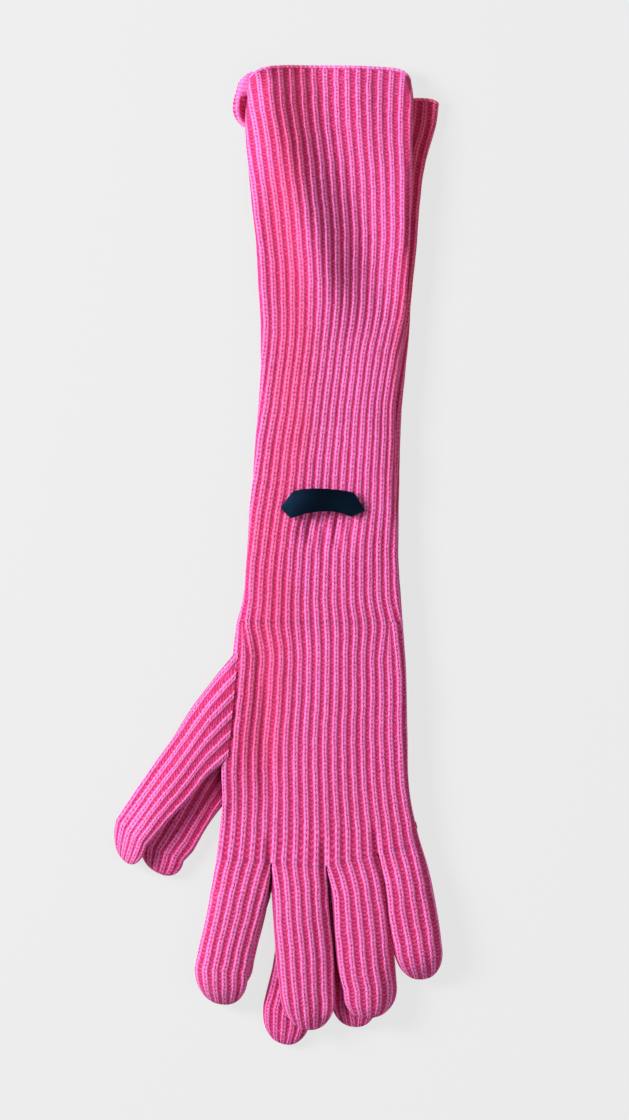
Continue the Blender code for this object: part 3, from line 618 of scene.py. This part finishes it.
# ---- The fingers and thumb of the glove beneath --------------------------------------------------
# Four ribbed tubes picked up from the end of the hand and one from the slit at its side, each
# gathered shut at its tip. Only their ends show beyond the upper glove.
FINGER_HOLLOW = 2.4
FINGER_COURSES = (1.82, 1.82)
Edge = namedtuple("Edge", "left_x left_y right_x right_y")
Finger = namedtuple("Finger", "edges tip_x tip_y ribs rib_left rib_right flat")
LOWER_FINGERS = {
    "index": Finger(
        (
            Edge(-26.8, -158.0, -5.2, -161.1), Edge(-30.6, -173.7, -9.0, -176.8),
            Edge(-32.0, -180.5, -10.6, -183.6),
        ),
        -23.0, -197.1, 12, -5.8, 0.1, (52.0, 52.0),
    ),
    "middle": Finger(
        (
            Edge(-0.5, -167.0, 20.7, -168.3), Edge(-2.3, -185.0, 19.2, -187.2),
            Edge(-6.6, -203.0, 14.9, -208.3),
        ),
        2.2, -221.0, 12, -1.3, 4.7, (52.0, 72.0),
    ),
    "ring": Finger(
        (
            Edge(22.3, -167.0, 46.2, -164.7), Edge(22.3, -185.0, 46.4, -184.1),
            Edge(23.4, -199.8, 44.2, -201.6),
        ),
        34.2, -213.3, 11, 3.9, 9.4, (50.0, 68.0),
    ),
    "little": Finger(
        (Edge(49.5, -158.0, 66.6, -154.8), Edge(52.2, -172.8, 69.3, -170.1)),
        62.6, -185.4, 10, 8.8, 13.6, (42.0, 46.0),
    ),
}
LOWER_THUMB = Finger(
    (
        Edge(-18.5, -57.0, -17.5, -104.5), Edge(-25.8, -66.6, -23.8, -112.5),
        Edge(-35.1, -82.8, -29.2, -119.4), Edge(-44.0, -98.4, -33.6, -126.2),
        Edge(-53.8, -115.2, -38.2, -134.4), Edge(-61.8, -129.2, -42.4, -138.6),
    ),
    -54.4, -143.8, 12, -3.0, 3.0, (74.0, 72.0),
)


def ribs_at(roots):
    """Which rib of the hand comes down to each root, so that its wales run on into the fingers."""
    across = roots[-1][0] - roots[0][0] - 2 * EDGE_INSET
    radius = WALL + HAND_HOLLOW / 2
    turn = math.pi * radius / 2 - radius
    shares = [(x - roots[0][0] - EDGE_INSET + turn) / (across + 2 * turn) for x, _ in roots[1:-1]]
    first, last = ROOT_RIBS
    return [first] + [first + share * (last - first) for share in shares] + [last]


def knit_fingers(glove, fingers, roots, bed, folds, flat_under, seed):
    """The four fingers, each from its part of the hand's last row to its own tip."""
    ribs = ribs_at(roots)
    for i, (name, finger) in enumerate(fingers.items()):
        table = [(*roots[i], *roots[i + 1], ribs[i], ribs[i + 1], HAND_HOLLOW, 0.0)]
        rest = (finger.rib_left, finger.rib_right, FINGER_HOLLOW, 0.0)
        table += [(*edge, *rest) for edge in finger.edges]
        root = Root(roots[0][0], roots[-1][0], float(i > 0), float(i < len(fingers) - 1))
        piece = knitted_tube(
            f"{glove}_{name}_knit", table, finger.ribs, FINGER_COURSES, bed, folds,
            tip=(finger.tip_x, finger.tip_y), flat_under=flat_under, seed=seed + i, root=root,
        )
        finish_knit(piece, f"{glove}_{name}", f"{glove}_wool")


def knit_thumb(glove, thumb, bed, folds, flat_under, seed):
    """The thumb, which begins under the hand's edge, where its slit is."""
    table = [(*edge, thumb.rib_left, thumb.rib_right, FINGER_HOLLOW, 0.0) for edge in thumb.edges]
    table[0] = table[0][:6] + (HAND_HOLLOW, 0.0)
    piece = knitted_tube(
        f"{glove}_thumb_knit", table, thumb.ribs, FINGER_COURSES, bed, folds,
        tip=(thumb.tip_x, thumb.tip_y), flat_under=flat_under, seed=seed,
    )
    finish_knit(piece, f"{glove}_thumb", f"{glove}_wool")


knit_fingers("lower", LOWER_FINGERS, LOWER_ROOTS, surface_bed, LOWER_FOLDS, True, 10)
knit_thumb("lower", LOWER_THUMB, surface_bed, (), True, 15)

# ---- How the upper glove lies --------------------------------------------------------------------
# It rests on the glove beneath, over a grid of heights. Where it reaches past that glove's edges
# it falls away in a soft slope.
CELL = 1.5  # of the grid that holds the heights
MARGIN = 16.0  # of that grid round the glove
DRAPE_SLOPE = 0.8
DRAPE_REACH = 3.5  # how far past an edge the cloth stays up
BED_GAP = 0.6


def lying_on(names):
    """Height of cloth that lies over these pieces, at any place."""
    points = []
    for name in names:
        mesh = bpy.data.objects[name].data
        found = np.zeros(len(mesh.vertices) * 3)
        mesh.vertices.foreach_get("co", found)
        points.append(found.reshape(-1, 3) / MM)
    points = np.concatenate(points)
    low = points[:, :2].min(axis=0) - MARGIN
    size = np.ceil((points[:, :2].max(axis=0) + MARGIN - low) / CELL).astype(int) + 1
    heights = np.zeros(size)
    cells = np.round((points[:, :2] - low) / CELL).astype(int)
    np.maximum.at(heights, (cells[:, 0], cells[:, 1]), points[:, 2])
    steps = math.ceil(DRAPE_REACH / CELL + heights.max() / DRAPE_SLOPE / CELL)
    spread = heights.copy()
    for dx in range(-steps, steps + 1):
        for dy in range(-steps, steps + 1):
            drop = DRAPE_SLOPE * max(0.0, math.hypot(dx, dy) * CELL - DRAPE_REACH)
            spread = np.maximum(spread, np.roll(heights, (dx, dy), axis=(0, 1)) - drop)
    for axis in (0, 1, 0, 1):
        spread = (np.roll(spread, 1, axis) + 2 * spread + np.roll(spread, -1, axis)) / 4

    def height(x, y):
        column = np.clip((x - low[0]) / CELL, 0, size[0] - 1.001)
        line = np.clip((y - low[1]) / CELL, 0, size[1] - 1.001)
        i, j = column.astype(int), line.astype(int)
        s, t = column - i, line - j
        near = spread[i, j] * (1 - s) + spread[i + 1, j] * s
        far = spread[i, j + 1] * (1 - s) + spread[i + 1, j + 1] * s
        return near * (1 - t) + far * t

    return height


LOWER_PIECES = ["arm", "hand", "thumb", *LOWER_FINGERS]
on_lower = lying_on([f"lower_{piece}_knit" for piece in LOWER_PIECES])


def upper_bed(x, y):
    return on_lower(x, y) + RIB + BED_GAP


# ---- The arm of the upper glove ------------------------------------------------------------------
# The same ribbed tube, turned over at its upper left corner. A soft trough runs down from there to
# the right, and the ribs are drawn closer half-way down, where the arm is narrowest.
WRIST_Y = -30.6
UPPER_ARM = (
    Level(219.6, -13.0, 59.8, -4.4, 10.3, 0.0),
    Level(204.3, -14.4, 60.8, -5.1, 10.8, 0.0),
    Level(181.8, -14.4, 60.5, -5.9, 10.8, 0.02),
    Level(159.3, -12.2, 59.9, -6.1, 10.6, 0.04),
    Level(141.3, -10.1, 59.2, -6.2, 10.6, 0.05),
    Level(123.3, -9.0, 58.5, -6.3, 10.9, 0.08),
    Level(105.3, -7.9, 57.4, -6.3, 11.3, 0.09),
    Level(87.3, -7.9, 55.1, -6.1, 11.9, 0.11),
    Level(69.3, -8.6, 53.1, -5.6, 12.2, 0.16),
    Level(51.3, -10.1, 52.8, -5.3, 12.3, 0.13),
    Level(24.3, -12.4, 52.9, -4.8, 12.6, 0.15),
    Level(-2.7, -14.2, 54.0, -4.4, 13.0, 0.06),
    Level(-20.7, -15.8, 54.9, -4.5, 13.0, 0.04),
    Level(WRIST_Y, -18.4, 56.0, -4.7, 12.7, 0.05),
)
UPPER_CUFF = (
    (0.0, -5.0), (0.03, -2.9), (0.07, -1.3), (0.14, -0.1), (0.25, 0.45), (0.45, 0.5),
    (0.7, 0.0), (0.86, -0.6), (0.92, -1.2), (0.96, -2.4), (0.98, -3.7), (1.0, -6.5),
)
# Creases of the whole glove, as some run on from one piece into the next
UPPER_FOLDS = (
    # The trough from the turned corner, between a ridge on its left and one on its right
    Fold(-13.0, 232.0, 24.0, 112.0, 10.0, 5.4),
    Fold(13.0, 235.0, 49.0, 112.0, 11.0, -4.0),
    Fold(60.0, 226.0, 60.0, 130.0, 8.0, 1.6),
    # Beside the thumb, where its slit pulls on the hand
    Fold(-7.2, -36.0, -4.5, -113.0, 4.0, -1.4),
    Fold(-15.5, -34.0, -16.5, -92.0, 4.0, 0.8),
    # Below the label, where its stitches pull
    Fold(10.0, 11.5, 35.0, 10.5, 6.0, -1.9),
    Fold(14.0, 20.0, 15.0, 4.0, 1.9, -1.2),
    Fold(20.5, 20.0, 20.0, 1.0, 2.0, -1.4),
    Fold(26.5, 20.0, 26.5, 3.0, 1.9, -1.4),
    Fold(32.0, 18.0, 32.5, 6.0, 1.8, -1.0),
    Fold(36.0, 80.0, 50.0, 20.0, 6.0, 0.5),
    Fold(2.0, 90.0, 0.0, 20.0, 6.0, -0.5),
    # The gathers between the fingers
    Fold(-3.1, -146.0, -4.8, -129.0, 1.7, -1.7),
    Fold(21.6, -147.0, 20.9, -131.0, 1.7, -1.7),
    Fold(45.0, -142.0, 43.6, -125.0, 1.7, -1.7),
)

upper_arm = knitted_tube(
    "upper_arm_knit", level_table(UPPER_ARM, ARM_HOLLOW), ARM_RIBS, ARM_COURSES, upper_bed,
    UPPER_FOLDS, bend=cuff_bend(UPPER_CUFF, UPPER_ARM[0].y), seed=20,
)
finish_knit(upper_arm, "upper_arm", "upper_wool")

# ---- The hand of the upper glove -----------------------------------------------------------------
# New ribs begin at the wrist beside each fold, and a trough and a ridge run down beside the thumb,
# where the slit pulls on the cloth.
UPPER_HAND = (
    Level(WRIST_Y, -18.4, 56.0, -5.6, 13.6, 0.05),
    Level(-46.4, -20.9, 57.1, -6.0, 13.5, 0.06),
    Level(-65.7, -22.9, 57.8, -6.0, 13.5, 0.06),
    Level(-83.7, -24.8, 58.1, -6.0, 13.5, 0.06),
    Level(-96.3, -25.9, 58.3, -6.0, 13.4, 0.06),
    Level(-110.7, -25.4, 59.6, -6.0, 13.3, 0.04),
    Level(-124.2, -26.6, 62.4, -6.0, 13.4, 0.02),
)
UPPER_ROOTS = ((-28.0, -136.3), (-3.1, -139.1), (21.6, -140.4), (45.0, -134.6), (64.3, -131.0))

upper_table, upper_bend = hand_table(UPPER_HAND, UPPER_ROOTS)
upper_hand = knitted_tube(
    "upper_hand_knit", upper_table, HAND_RIBS, HAND_COURSES, upper_bed, UPPER_FOLDS,
    bend=upper_bend, new_ribs=NEW_RIBS, seed=21,
)
finish_knit(upper_hand, "upper_hand", "upper_wool")

# ---- The fingers and thumb of the upper glove ----------------------------------------------------
# As on the other glove: four ribbed tubes from the end of the hand and one from its slit. The wales
# run straight down each finger to its gathered tip.
UPPER_FINGERS = {
    "index": Finger(
        (
            Edge(-29.6, -147.6, -3.9, -150.3), Edge(-32.5, -163.8, -7.6, -165.6),
            Edge(-35.4, -176.0, -11.4, -178.2), Edge(-37.5, -186.3, -13.5, -188.6),
        ),
        -25.2, -203.0, 12, -5.8, 0.1, (58.0, 66.0),
    ),
    "middle": Finger(
        (
            Edge(-2.8, -151.2, 22.2, -151.2), Edge(-1.8, -169.2, 23.7, -169.2),
            Edge(-0.5, -184.1, 25.0, -184.1), Edge(0.9, -196.2, 25.2, -197.6),
        ),
        14.0, -214.2, 12, -1.3, 4.7, (57.0, 75.0),
    ),
    "ring": Finger(
        (
            Edge(23.7, -151.2, 47.8, -147.6), Edge(25.4, -173.7, 51.0, -170.1),
            Edge(27.0, -188.1, 52.6, -185.4), Edge(29.2, -197.1, 53.5, -195.3),
        ),
        41.4, -208.8, 11, 3.9, 9.4, (55.0, 72.0),
    ),
    "little": Finger(
        (
            Edge(47.5, -149.0, 68.4, -144.9), Edge(49.4, -167.0, 71.9, -163.8),
            Edge(51.9, -178.2, 73.6, -176.0),
        ),
        65.2, -191.7, 10, 8.8, 13.6, (49.0, 59.0),
    ),
}
THUMB_FOLDS = (Fold(-20.0, -36.0, -27.0, -104.0, 7.0, 0.3),)  # it rises to meet the hand
UPPER_THUMB = Finger(
    (
        Edge(-17.6, -42.0, -22.5, -93.0), Edge(-29.4, -56.2, -32.0, -101.2),
        Edge(-39.6, -69.8, -37.8, -108.5), Edge(-47.4, -82.2, -44.6, -115.7),
        Edge(-56.5, -94.9, -50.0, -121.5), Edge(-65.4, -107.9, -55.4, -127.4),
        Edge(-72.9, -119.6, -59.0, -131.4),
    ),
    -69.5, -138.2, 12, -3.0, 3.0, (74.0, 76.0),
)
knit_fingers("upper", UPPER_FINGERS, UPPER_ROOTS, upper_bed, UPPER_FOLDS, False, 30)
knit_thumb("upper", UPPER_THUMB, upper_bed, THUMB_FOLDS, False, 35)

# ---- The turned-out corner of the cuff -----------------------------------------------------------
# The cuff's left corner doubles over itself beside the arm. Its edge curls up in a soft roll, round
# a small hollow that lies between the roll and the arm, with shade painted into it.
CornerRow = namedtuple("CornerRow", "y rim_x radius hollow")
CORNER_ROWS = (
    CornerRow(217.0, -13.6, 1.3, 0.0),
    CornerRow(213.0, -17.6, 1.9, 0.0),
    CornerRow(208.0, -19.2, 2.1, 0.1),
    CornerRow(204.0, -20.2, 2.0, 0.7),
    CornerRow(200.5, -20.5, 1.9, 1.0),
    CornerRow(197.5, -19.8, 1.8, 0.9),
    CornerRow(195.0, -18.3, 1.6, 0.3),
    CornerRow(192.6, -15.9, 1.2, 0.0),
)
CORNER_INNER = -11.5  # where the turned cloth goes in under the arm
CORNER_LIE = 3.3  # height of the roll's middle over the surface
HOLLOW_FLOOR = 1.3
CORNER_ACROSS, CORNER_ALONG = 44, 64  # faces of its grid
CORNER_STEP = 0.4
CORNER_COURSES = 15.0
CORNER_STITCH = 0.16  # height of a stitch on the roll
FLAP = 0.45  # share of the turned cloth that lies flat, before the roll
CURL_START, CURL_END, CURL_OPEN = 90, -75, 95  # degrees round the roll; a hollow opens it further

bm = bmesh.new()
bmesh.ops.create_grid(bm, x_segments=CORNER_ACROSS, y_segments=CORNER_ALONG, size=0.5)
corner_map = bm.loops.layers.uv.new("stitches")
corner_table = [(row.rim_x, row.y, row.rim_x, row.y, row.radius, row.hollow) for row in CORNER_ROWS]
corner_rows, _ = smooth_rows(corner_table, CORNER_STEP)
row_shares = np.linspace(0, 1, len(corner_rows))
for vertex in bm.verts:
    share_across, share_along = vertex.co.x + 0.5, 0.5 - vertex.co.y
    row = [np.interp(share_along, row_shares, corner_rows[:, k]) for k in (0, 1, 4, 5)]
    rim_x, y, radius, hollow = row
    counted = CORNER_COURSES * (share_along + 0.05 * share_across)
    ridge = CORNER_STITCH * math.cos(2 * math.pi * counted)
    start = math.radians(CURL_START + CURL_OPEN * hollow)
    roll = np.clip((share_across - FLAP) / (1 - FLAP), 0, 1)
    angle = start + (math.radians(CURL_END) - start) * roll
    x = rim_x + radius - (radius + ridge) * math.cos(angle)
    z = CORNER_LIE + (radius + ridge) * math.sin(angle)
    inner = np.clip(share_across / FLAP, 0, 1)
    if inner < 1:
        ease = inner * inner * (3 - 2 * inner)
        low = HOLLOW_FLOOR * hollow + (CORNER_LIE + 0.8 * radius) * (1 - hollow)
        x = CORNER_INNER + (x - CORNER_INNER) * inner
        z = low + (z - low) * ease**2 + ridge
    # Painted shade: in the hollow the stitch map slides onto the valleys' shaded colour
    shade = hollow * (1 - roll) ** 4
    hollow_shade_place = (1 - shade) * (0.3 + 0.4 * roll)
    for face_corner in vertex.link_loops:
        face_corner[corner_map].uv = (hollow_shade_place, share_along * CORNER_COURSES + 0.4 * share_across)
    vertex.co = (x * MM, y * MM, z * MM)
cuff_corner = walled(mesh_of("upper_cuff_corner_knit", bm), rim=True)
finish_knit(cuff_corner, "upper_cuff_corner", "upper_wool")

# ---- The cast-on edges ---------------------------------------------------------------------------
# The first row of stitches at each cuff: a twisted cord of the same yarn round the tube's open
# end. It lies along the outer edge of the tube's wall.
OPEN_EDGE_DROP = 8.0  # of the cuff's open edge, at most
CORD_RADIUS = 0.7
CORD_SIDES = 8
CORD_STEP = 0.5
CORD_SMOOTHING = 12  # passes over its path
CORD_TUCK = 0.35  # how far the cord lies back from the edge
CORD_SWELL = 0.12  # of its radius, where a strand passes over
TWIST = 2.3  # length of one stitch of the cord


def cast_on(glove, arm):
    """A cord round the open end of an arm, along the outer edge of its wall."""
    slot = f"{glove}_wool"
    bm = bmesh.new()
    bm.from_mesh(arm.data)
    top = max(v.co.y for v in bm.verts)
    low = top - OPEN_EDGE_DROP * MM
    edge = next(e for e in bm.edges if e.is_boundary and e.verts[0].co.y > low)
    loop, vertex = [], edge.verts[0]
    while True:
        loop.append(vertex.co.copy() / MM)
        vertex = edge.other_vert(vertex)
        following = [e for e in vertex.link_edges if e.is_boundary and e != edge]
        if not following or (vertex.co / MM - loop[0]).length < 1e-6:
            break
        edge = following[0]
    bm.free()
    loop = np.array(loop)
    closed = np.vstack([loop, loop[:1]])
    around = np.linalg.norm(np.diff(closed, axis=0), axis=1)
    at = np.concatenate([[0.0], np.cumsum(around)])
    count = round(at[-1] / CORD_STEP)
    where = np.arange(count) / count * at[-1]
    centre = np.stack([np.interp(where, at, closed[:, k]) for k in range(3)], axis=1)
    for _ in range(CORD_SMOOTHING):
        centre = (np.roll(centre, 1, 0) + centre * 2 + np.roll(centre, -1, 0)) / 4
    centre[:, 1] -= CORD_TUCK
    left, right = loop[:, 0].min() + CORD_RADIUS, loop[:, 0].max() - CORD_RADIUS
    centre[:, 0] = np.clip(centre[:, 0], left, right)
    # It lies on the surface, not in it
    centre[:, 2] = np.maximum(centre[:, 2], (1 + CORD_SWELL) * CORD_RADIUS)
    run = np.roll(centre, -1, 0) - np.roll(centre, 1, 0)
    run /= np.linalg.norm(run, axis=1)[:, None]
    out = np.cross(run, (0.0, 1.0, 0.0))
    out /= np.linalg.norm(out, axis=1)[:, None] + 1e-9
    onward = np.cross(out, run)
    bm = bmesh.new()
    bmesh.ops.create_grid(bm, x_segments=CORD_SIDES, y_segments=count, size=0.5)
    cord_map = bm.loops.layers.uv.new("stitches")
    turns = round(at[-1] / TWIST)
    for vertex in bm.verts:
        side = round((vertex.co.x + 0.5) * CORD_SIDES)
        i = round((vertex.co.y + 0.5) * count)
        angle = 2 * math.pi * side / CORD_SIDES
        twist = 2 * math.pi * turns * i / count
        radius = CORD_RADIUS * (1 + CORD_SWELL * math.cos(2 * angle + twist))
        for face_corner in vertex.link_loops:
            face_corner[cord_map].uv = (0.3 + 0.4 * side / CORD_SIDES, i / count * turns)
        k = i % count
        offset = out[k] * math.cos(angle) + onward[k] * math.sin(angle)
        vertex.co = (centre[k] + offset * radius) * MM
    bmesh.ops.remove_doubles(bm, verts=bm.verts, dist=WELD * MM)
    bmesh.ops.recalc_face_normals(bm, faces=bm.faces)
    mesh = mesh_of(f"{glove}_cast_on", bm)
    mesh.shade_smooth()
    mesh.materials.append(wools[slot])
    cord = placed(mesh)
    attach(cord, "root")


cast_on("lower", lower_arm)
cast_on("upper", upper_arm)

# ---- The label -----------------------------------------------------------------------------------
# A bare strip of very dark navy satin with pointed ends. It is tacked down at its two tips and
# arches over the ribs between them, so light catches its left half.
LABEL_THICK = 0.45
LABEL_LIFT = 0.4  # of its tips over the ribs
LABEL_ARCH = 3.4
LABEL_BULGE = 0.5  # of its middle over its two long edges
LabelRow = namedtuple("LabelRow", "low_x low_y high_x high_y")
LABEL = (
    LabelRow(1.4, 20.3, 1.4, 21.1),
    LabelRow(5.9, 16.0, 6.9, 28.2),
    LabelRow(12.4, 18.1, 11.6, 29.2),
    LabelRow(18.0, 19.1, 17.4, 29.4),
    LabelRow(23.6, 19.2, 23.8, 29.1),
    LabelRow(28.3, 18.4, 29.2, 28.5),
    LabelRow(32.9, 16.7, 34.0, 27.7),
    LabelRow(38.7, 19.4, 38.7, 20.2),
)
LABEL_STEPS = 8  # faces between two rows, and across
THREAD_SCALE, THREAD_RELIEF = 900.0, 0.03
DARK_NAVY, NAVY = (0.0008, 0.0008, 0.0018, 1.0), (0.0014, 0.0018, 0.0038, 1.0)

on_arm = lying_on(["upper_arm_knit"])
label_rows = np.array(LABEL)
label_bed = float(on_arm(label_rows[[0, -1], 0], label_rows[[0, -1], 1]).max())
spans = len(LABEL) - 1
bm = bmesh.new()
bmesh.ops.create_grid(bm, x_segments=LABEL_STEPS * spans, y_segments=LABEL_STEPS, size=0.5)
for vertex in bm.verts:
    at_row = (vertex.co.x + 0.5) * spans
    share = vertex.co.y + 0.5
    row = [np.interp(at_row, range(len(LABEL)), label_rows[:, k]) for k in range(4)]
    low_x, low_y, high_x, high_y = row
    x, y = low_x + (high_x - low_x) * share, low_y + (high_y - low_y) * share
    arch = math.sin(math.pi * (x - label_rows[0, 0]) / (label_rows[-1, 0] - label_rows[0, 0]))
    bulge = LABEL_BULGE * math.sin(math.pi * share) * arch
    vertex.co = (x * MM, y * MM, (label_bed + LABEL_LIFT + LABEL_ARCH * arch + bulge) * MM)
bmesh.ops.recalc_face_normals(bm, faces=bm.faces)
if sum(face.normal.z for face in bm.faces) < 0:
    bmesh.ops.reverse_faces(bm, faces=bm.faces)
for edge in bm.edges:
    edge.smooth = not edge.is_boundary
for face in bm.faces:
    face.smooth = True
label = placed(mesh_of("label_satin", bm))
backing = label.modifiers.new("cloth", "SOLIDIFY")
backing.thickness = LABEL_THICK * MM
backing.offset = 1.0

satin = bpy.data.materials.new("label_satin")
satin.use_nodes = True
tree = satin.node_tree
shader = tree.nodes["Principled BSDF"]
cloth = tree.nodes.new("ShaderNodeTexCoord")
threads = tree.nodes.new("ShaderNodeTexWave")
threads.bands_direction = "Y"
set_inputs(threads, {"Scale": THREAD_SCALE, "Distortion": 1.5})
tree.links.new(cloth.outputs["Object"], threads.inputs["Vector"])
weave = relief(tree, threads.outputs["Fac"], THREAD_RELIEF, strength=0.6)
tree.links.new(weave, shader.inputs["Normal"])
worn = mottle(tree, cloth.outputs["Object"], 160.0)
navy = blend_colours(tree, worn, DARK_NAVY, NAVY)
tree.links.new(navy, shader.inputs["Base Color"])
set_inputs(shader, {
    "Roughness": 0.42,
    "Specular IOR Level": 0.2,
    "Specular Tint": (0.1, 0.45, 1.0, 1.0),
})
label.data.materials.append(satin)
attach(label, "root")
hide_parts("label")

# ---- The stage -----------------------------------------------------------------------------------
# A plain pale surface under a broad cool light from the upper left, as by a window. A weaker light
# from the right fills the shadows.
FLOOR_REACH = 3.0  # metres from its middle to each side
FLOOR_DROP = 0.05  # below the undersides
bm = bmesh.new()
bmesh.ops.create_grid(bm, x_segments=2, y_segments=2, size=FLOOR_REACH)
floor = placed(mesh_of("floor", bm))
floor.location.z = -FLOOR_DROP * MM
paper = bpy.data.materials.new("pale_paper")
paper.use_nodes = True
set_inputs(paper.node_tree.nodes["Principled BSDF"], {
    "Base Color": (0.08, 0.08, 0.08, 1.0),
    "Roughness": 0.9,
    "Specular IOR Level": 0.0,
    "Emission Color": (1.0, 1.0, 1.0, 1.0),
    "Emission Strength": 0.735,
})
floor.data.materials.append(paper)


def soft_light(name, place, size, watts, colour):
    """A square light at this place, in metres, that faces the gloves."""
    lamp = bpy.data.lights.new(name, "AREA")
    lamp.size = size
    lamp.energy = watts
    lamp.color = colour
    light = placed(lamp)
    light.location = place
    aim = -light.location.normalized()
    light.rotation_euler = aim.to_track_quat("-Z", "Y").to_euler()


soft_light("window", (-1.3, 0.42, 0.9), 0.6, 53.0, (0.95, 0.95, 1.0))
soft_light("fill", (0.9, -0.3, 1.4), 1.2, 9.0, (1.0, 0.97, 0.96))
world = bpy.data.worlds.new("room")
world.use_nodes = True
set_inputs(world.node_tree.nodes["Background"], {"Color": (1.0, 0.97, 0.97, 1.0), "Strength": 0.2})
bpy.context.scene.world = world
bpy.context.scene.view_settings.view_transform = "Standard"

# ---- The camera ----------------------------------------------------------------------------------
# Straight above, from far off, so that it sees the flat gloves with almost no perspective. The lens
# is set by how much of the surface the picture takes in.
VIEW_HEIGHT = 3.0  # metres
VIEW_LENGTH = 504.0  # of the surface, from the top of the picture to its foot
VIEW_CENTRE = (16.4, -2.7)
CLOTH_HEIGHT = 10.0  # at which the cloth is seen at its true size
camera = placed(bpy.data.cameras.new("camera"))
camera.data.lens = camera.data.sensor_width * (VIEW_HEIGHT - CLOTH_HEIGHT * MM) / (VIEW_LENGTH * MM)
camera.location = (VIEW_CENTRE[0] * MM, VIEW_CENTRE[1] * MM, VIEW_HEIGHT)
bpy.context.scene.camera = camera
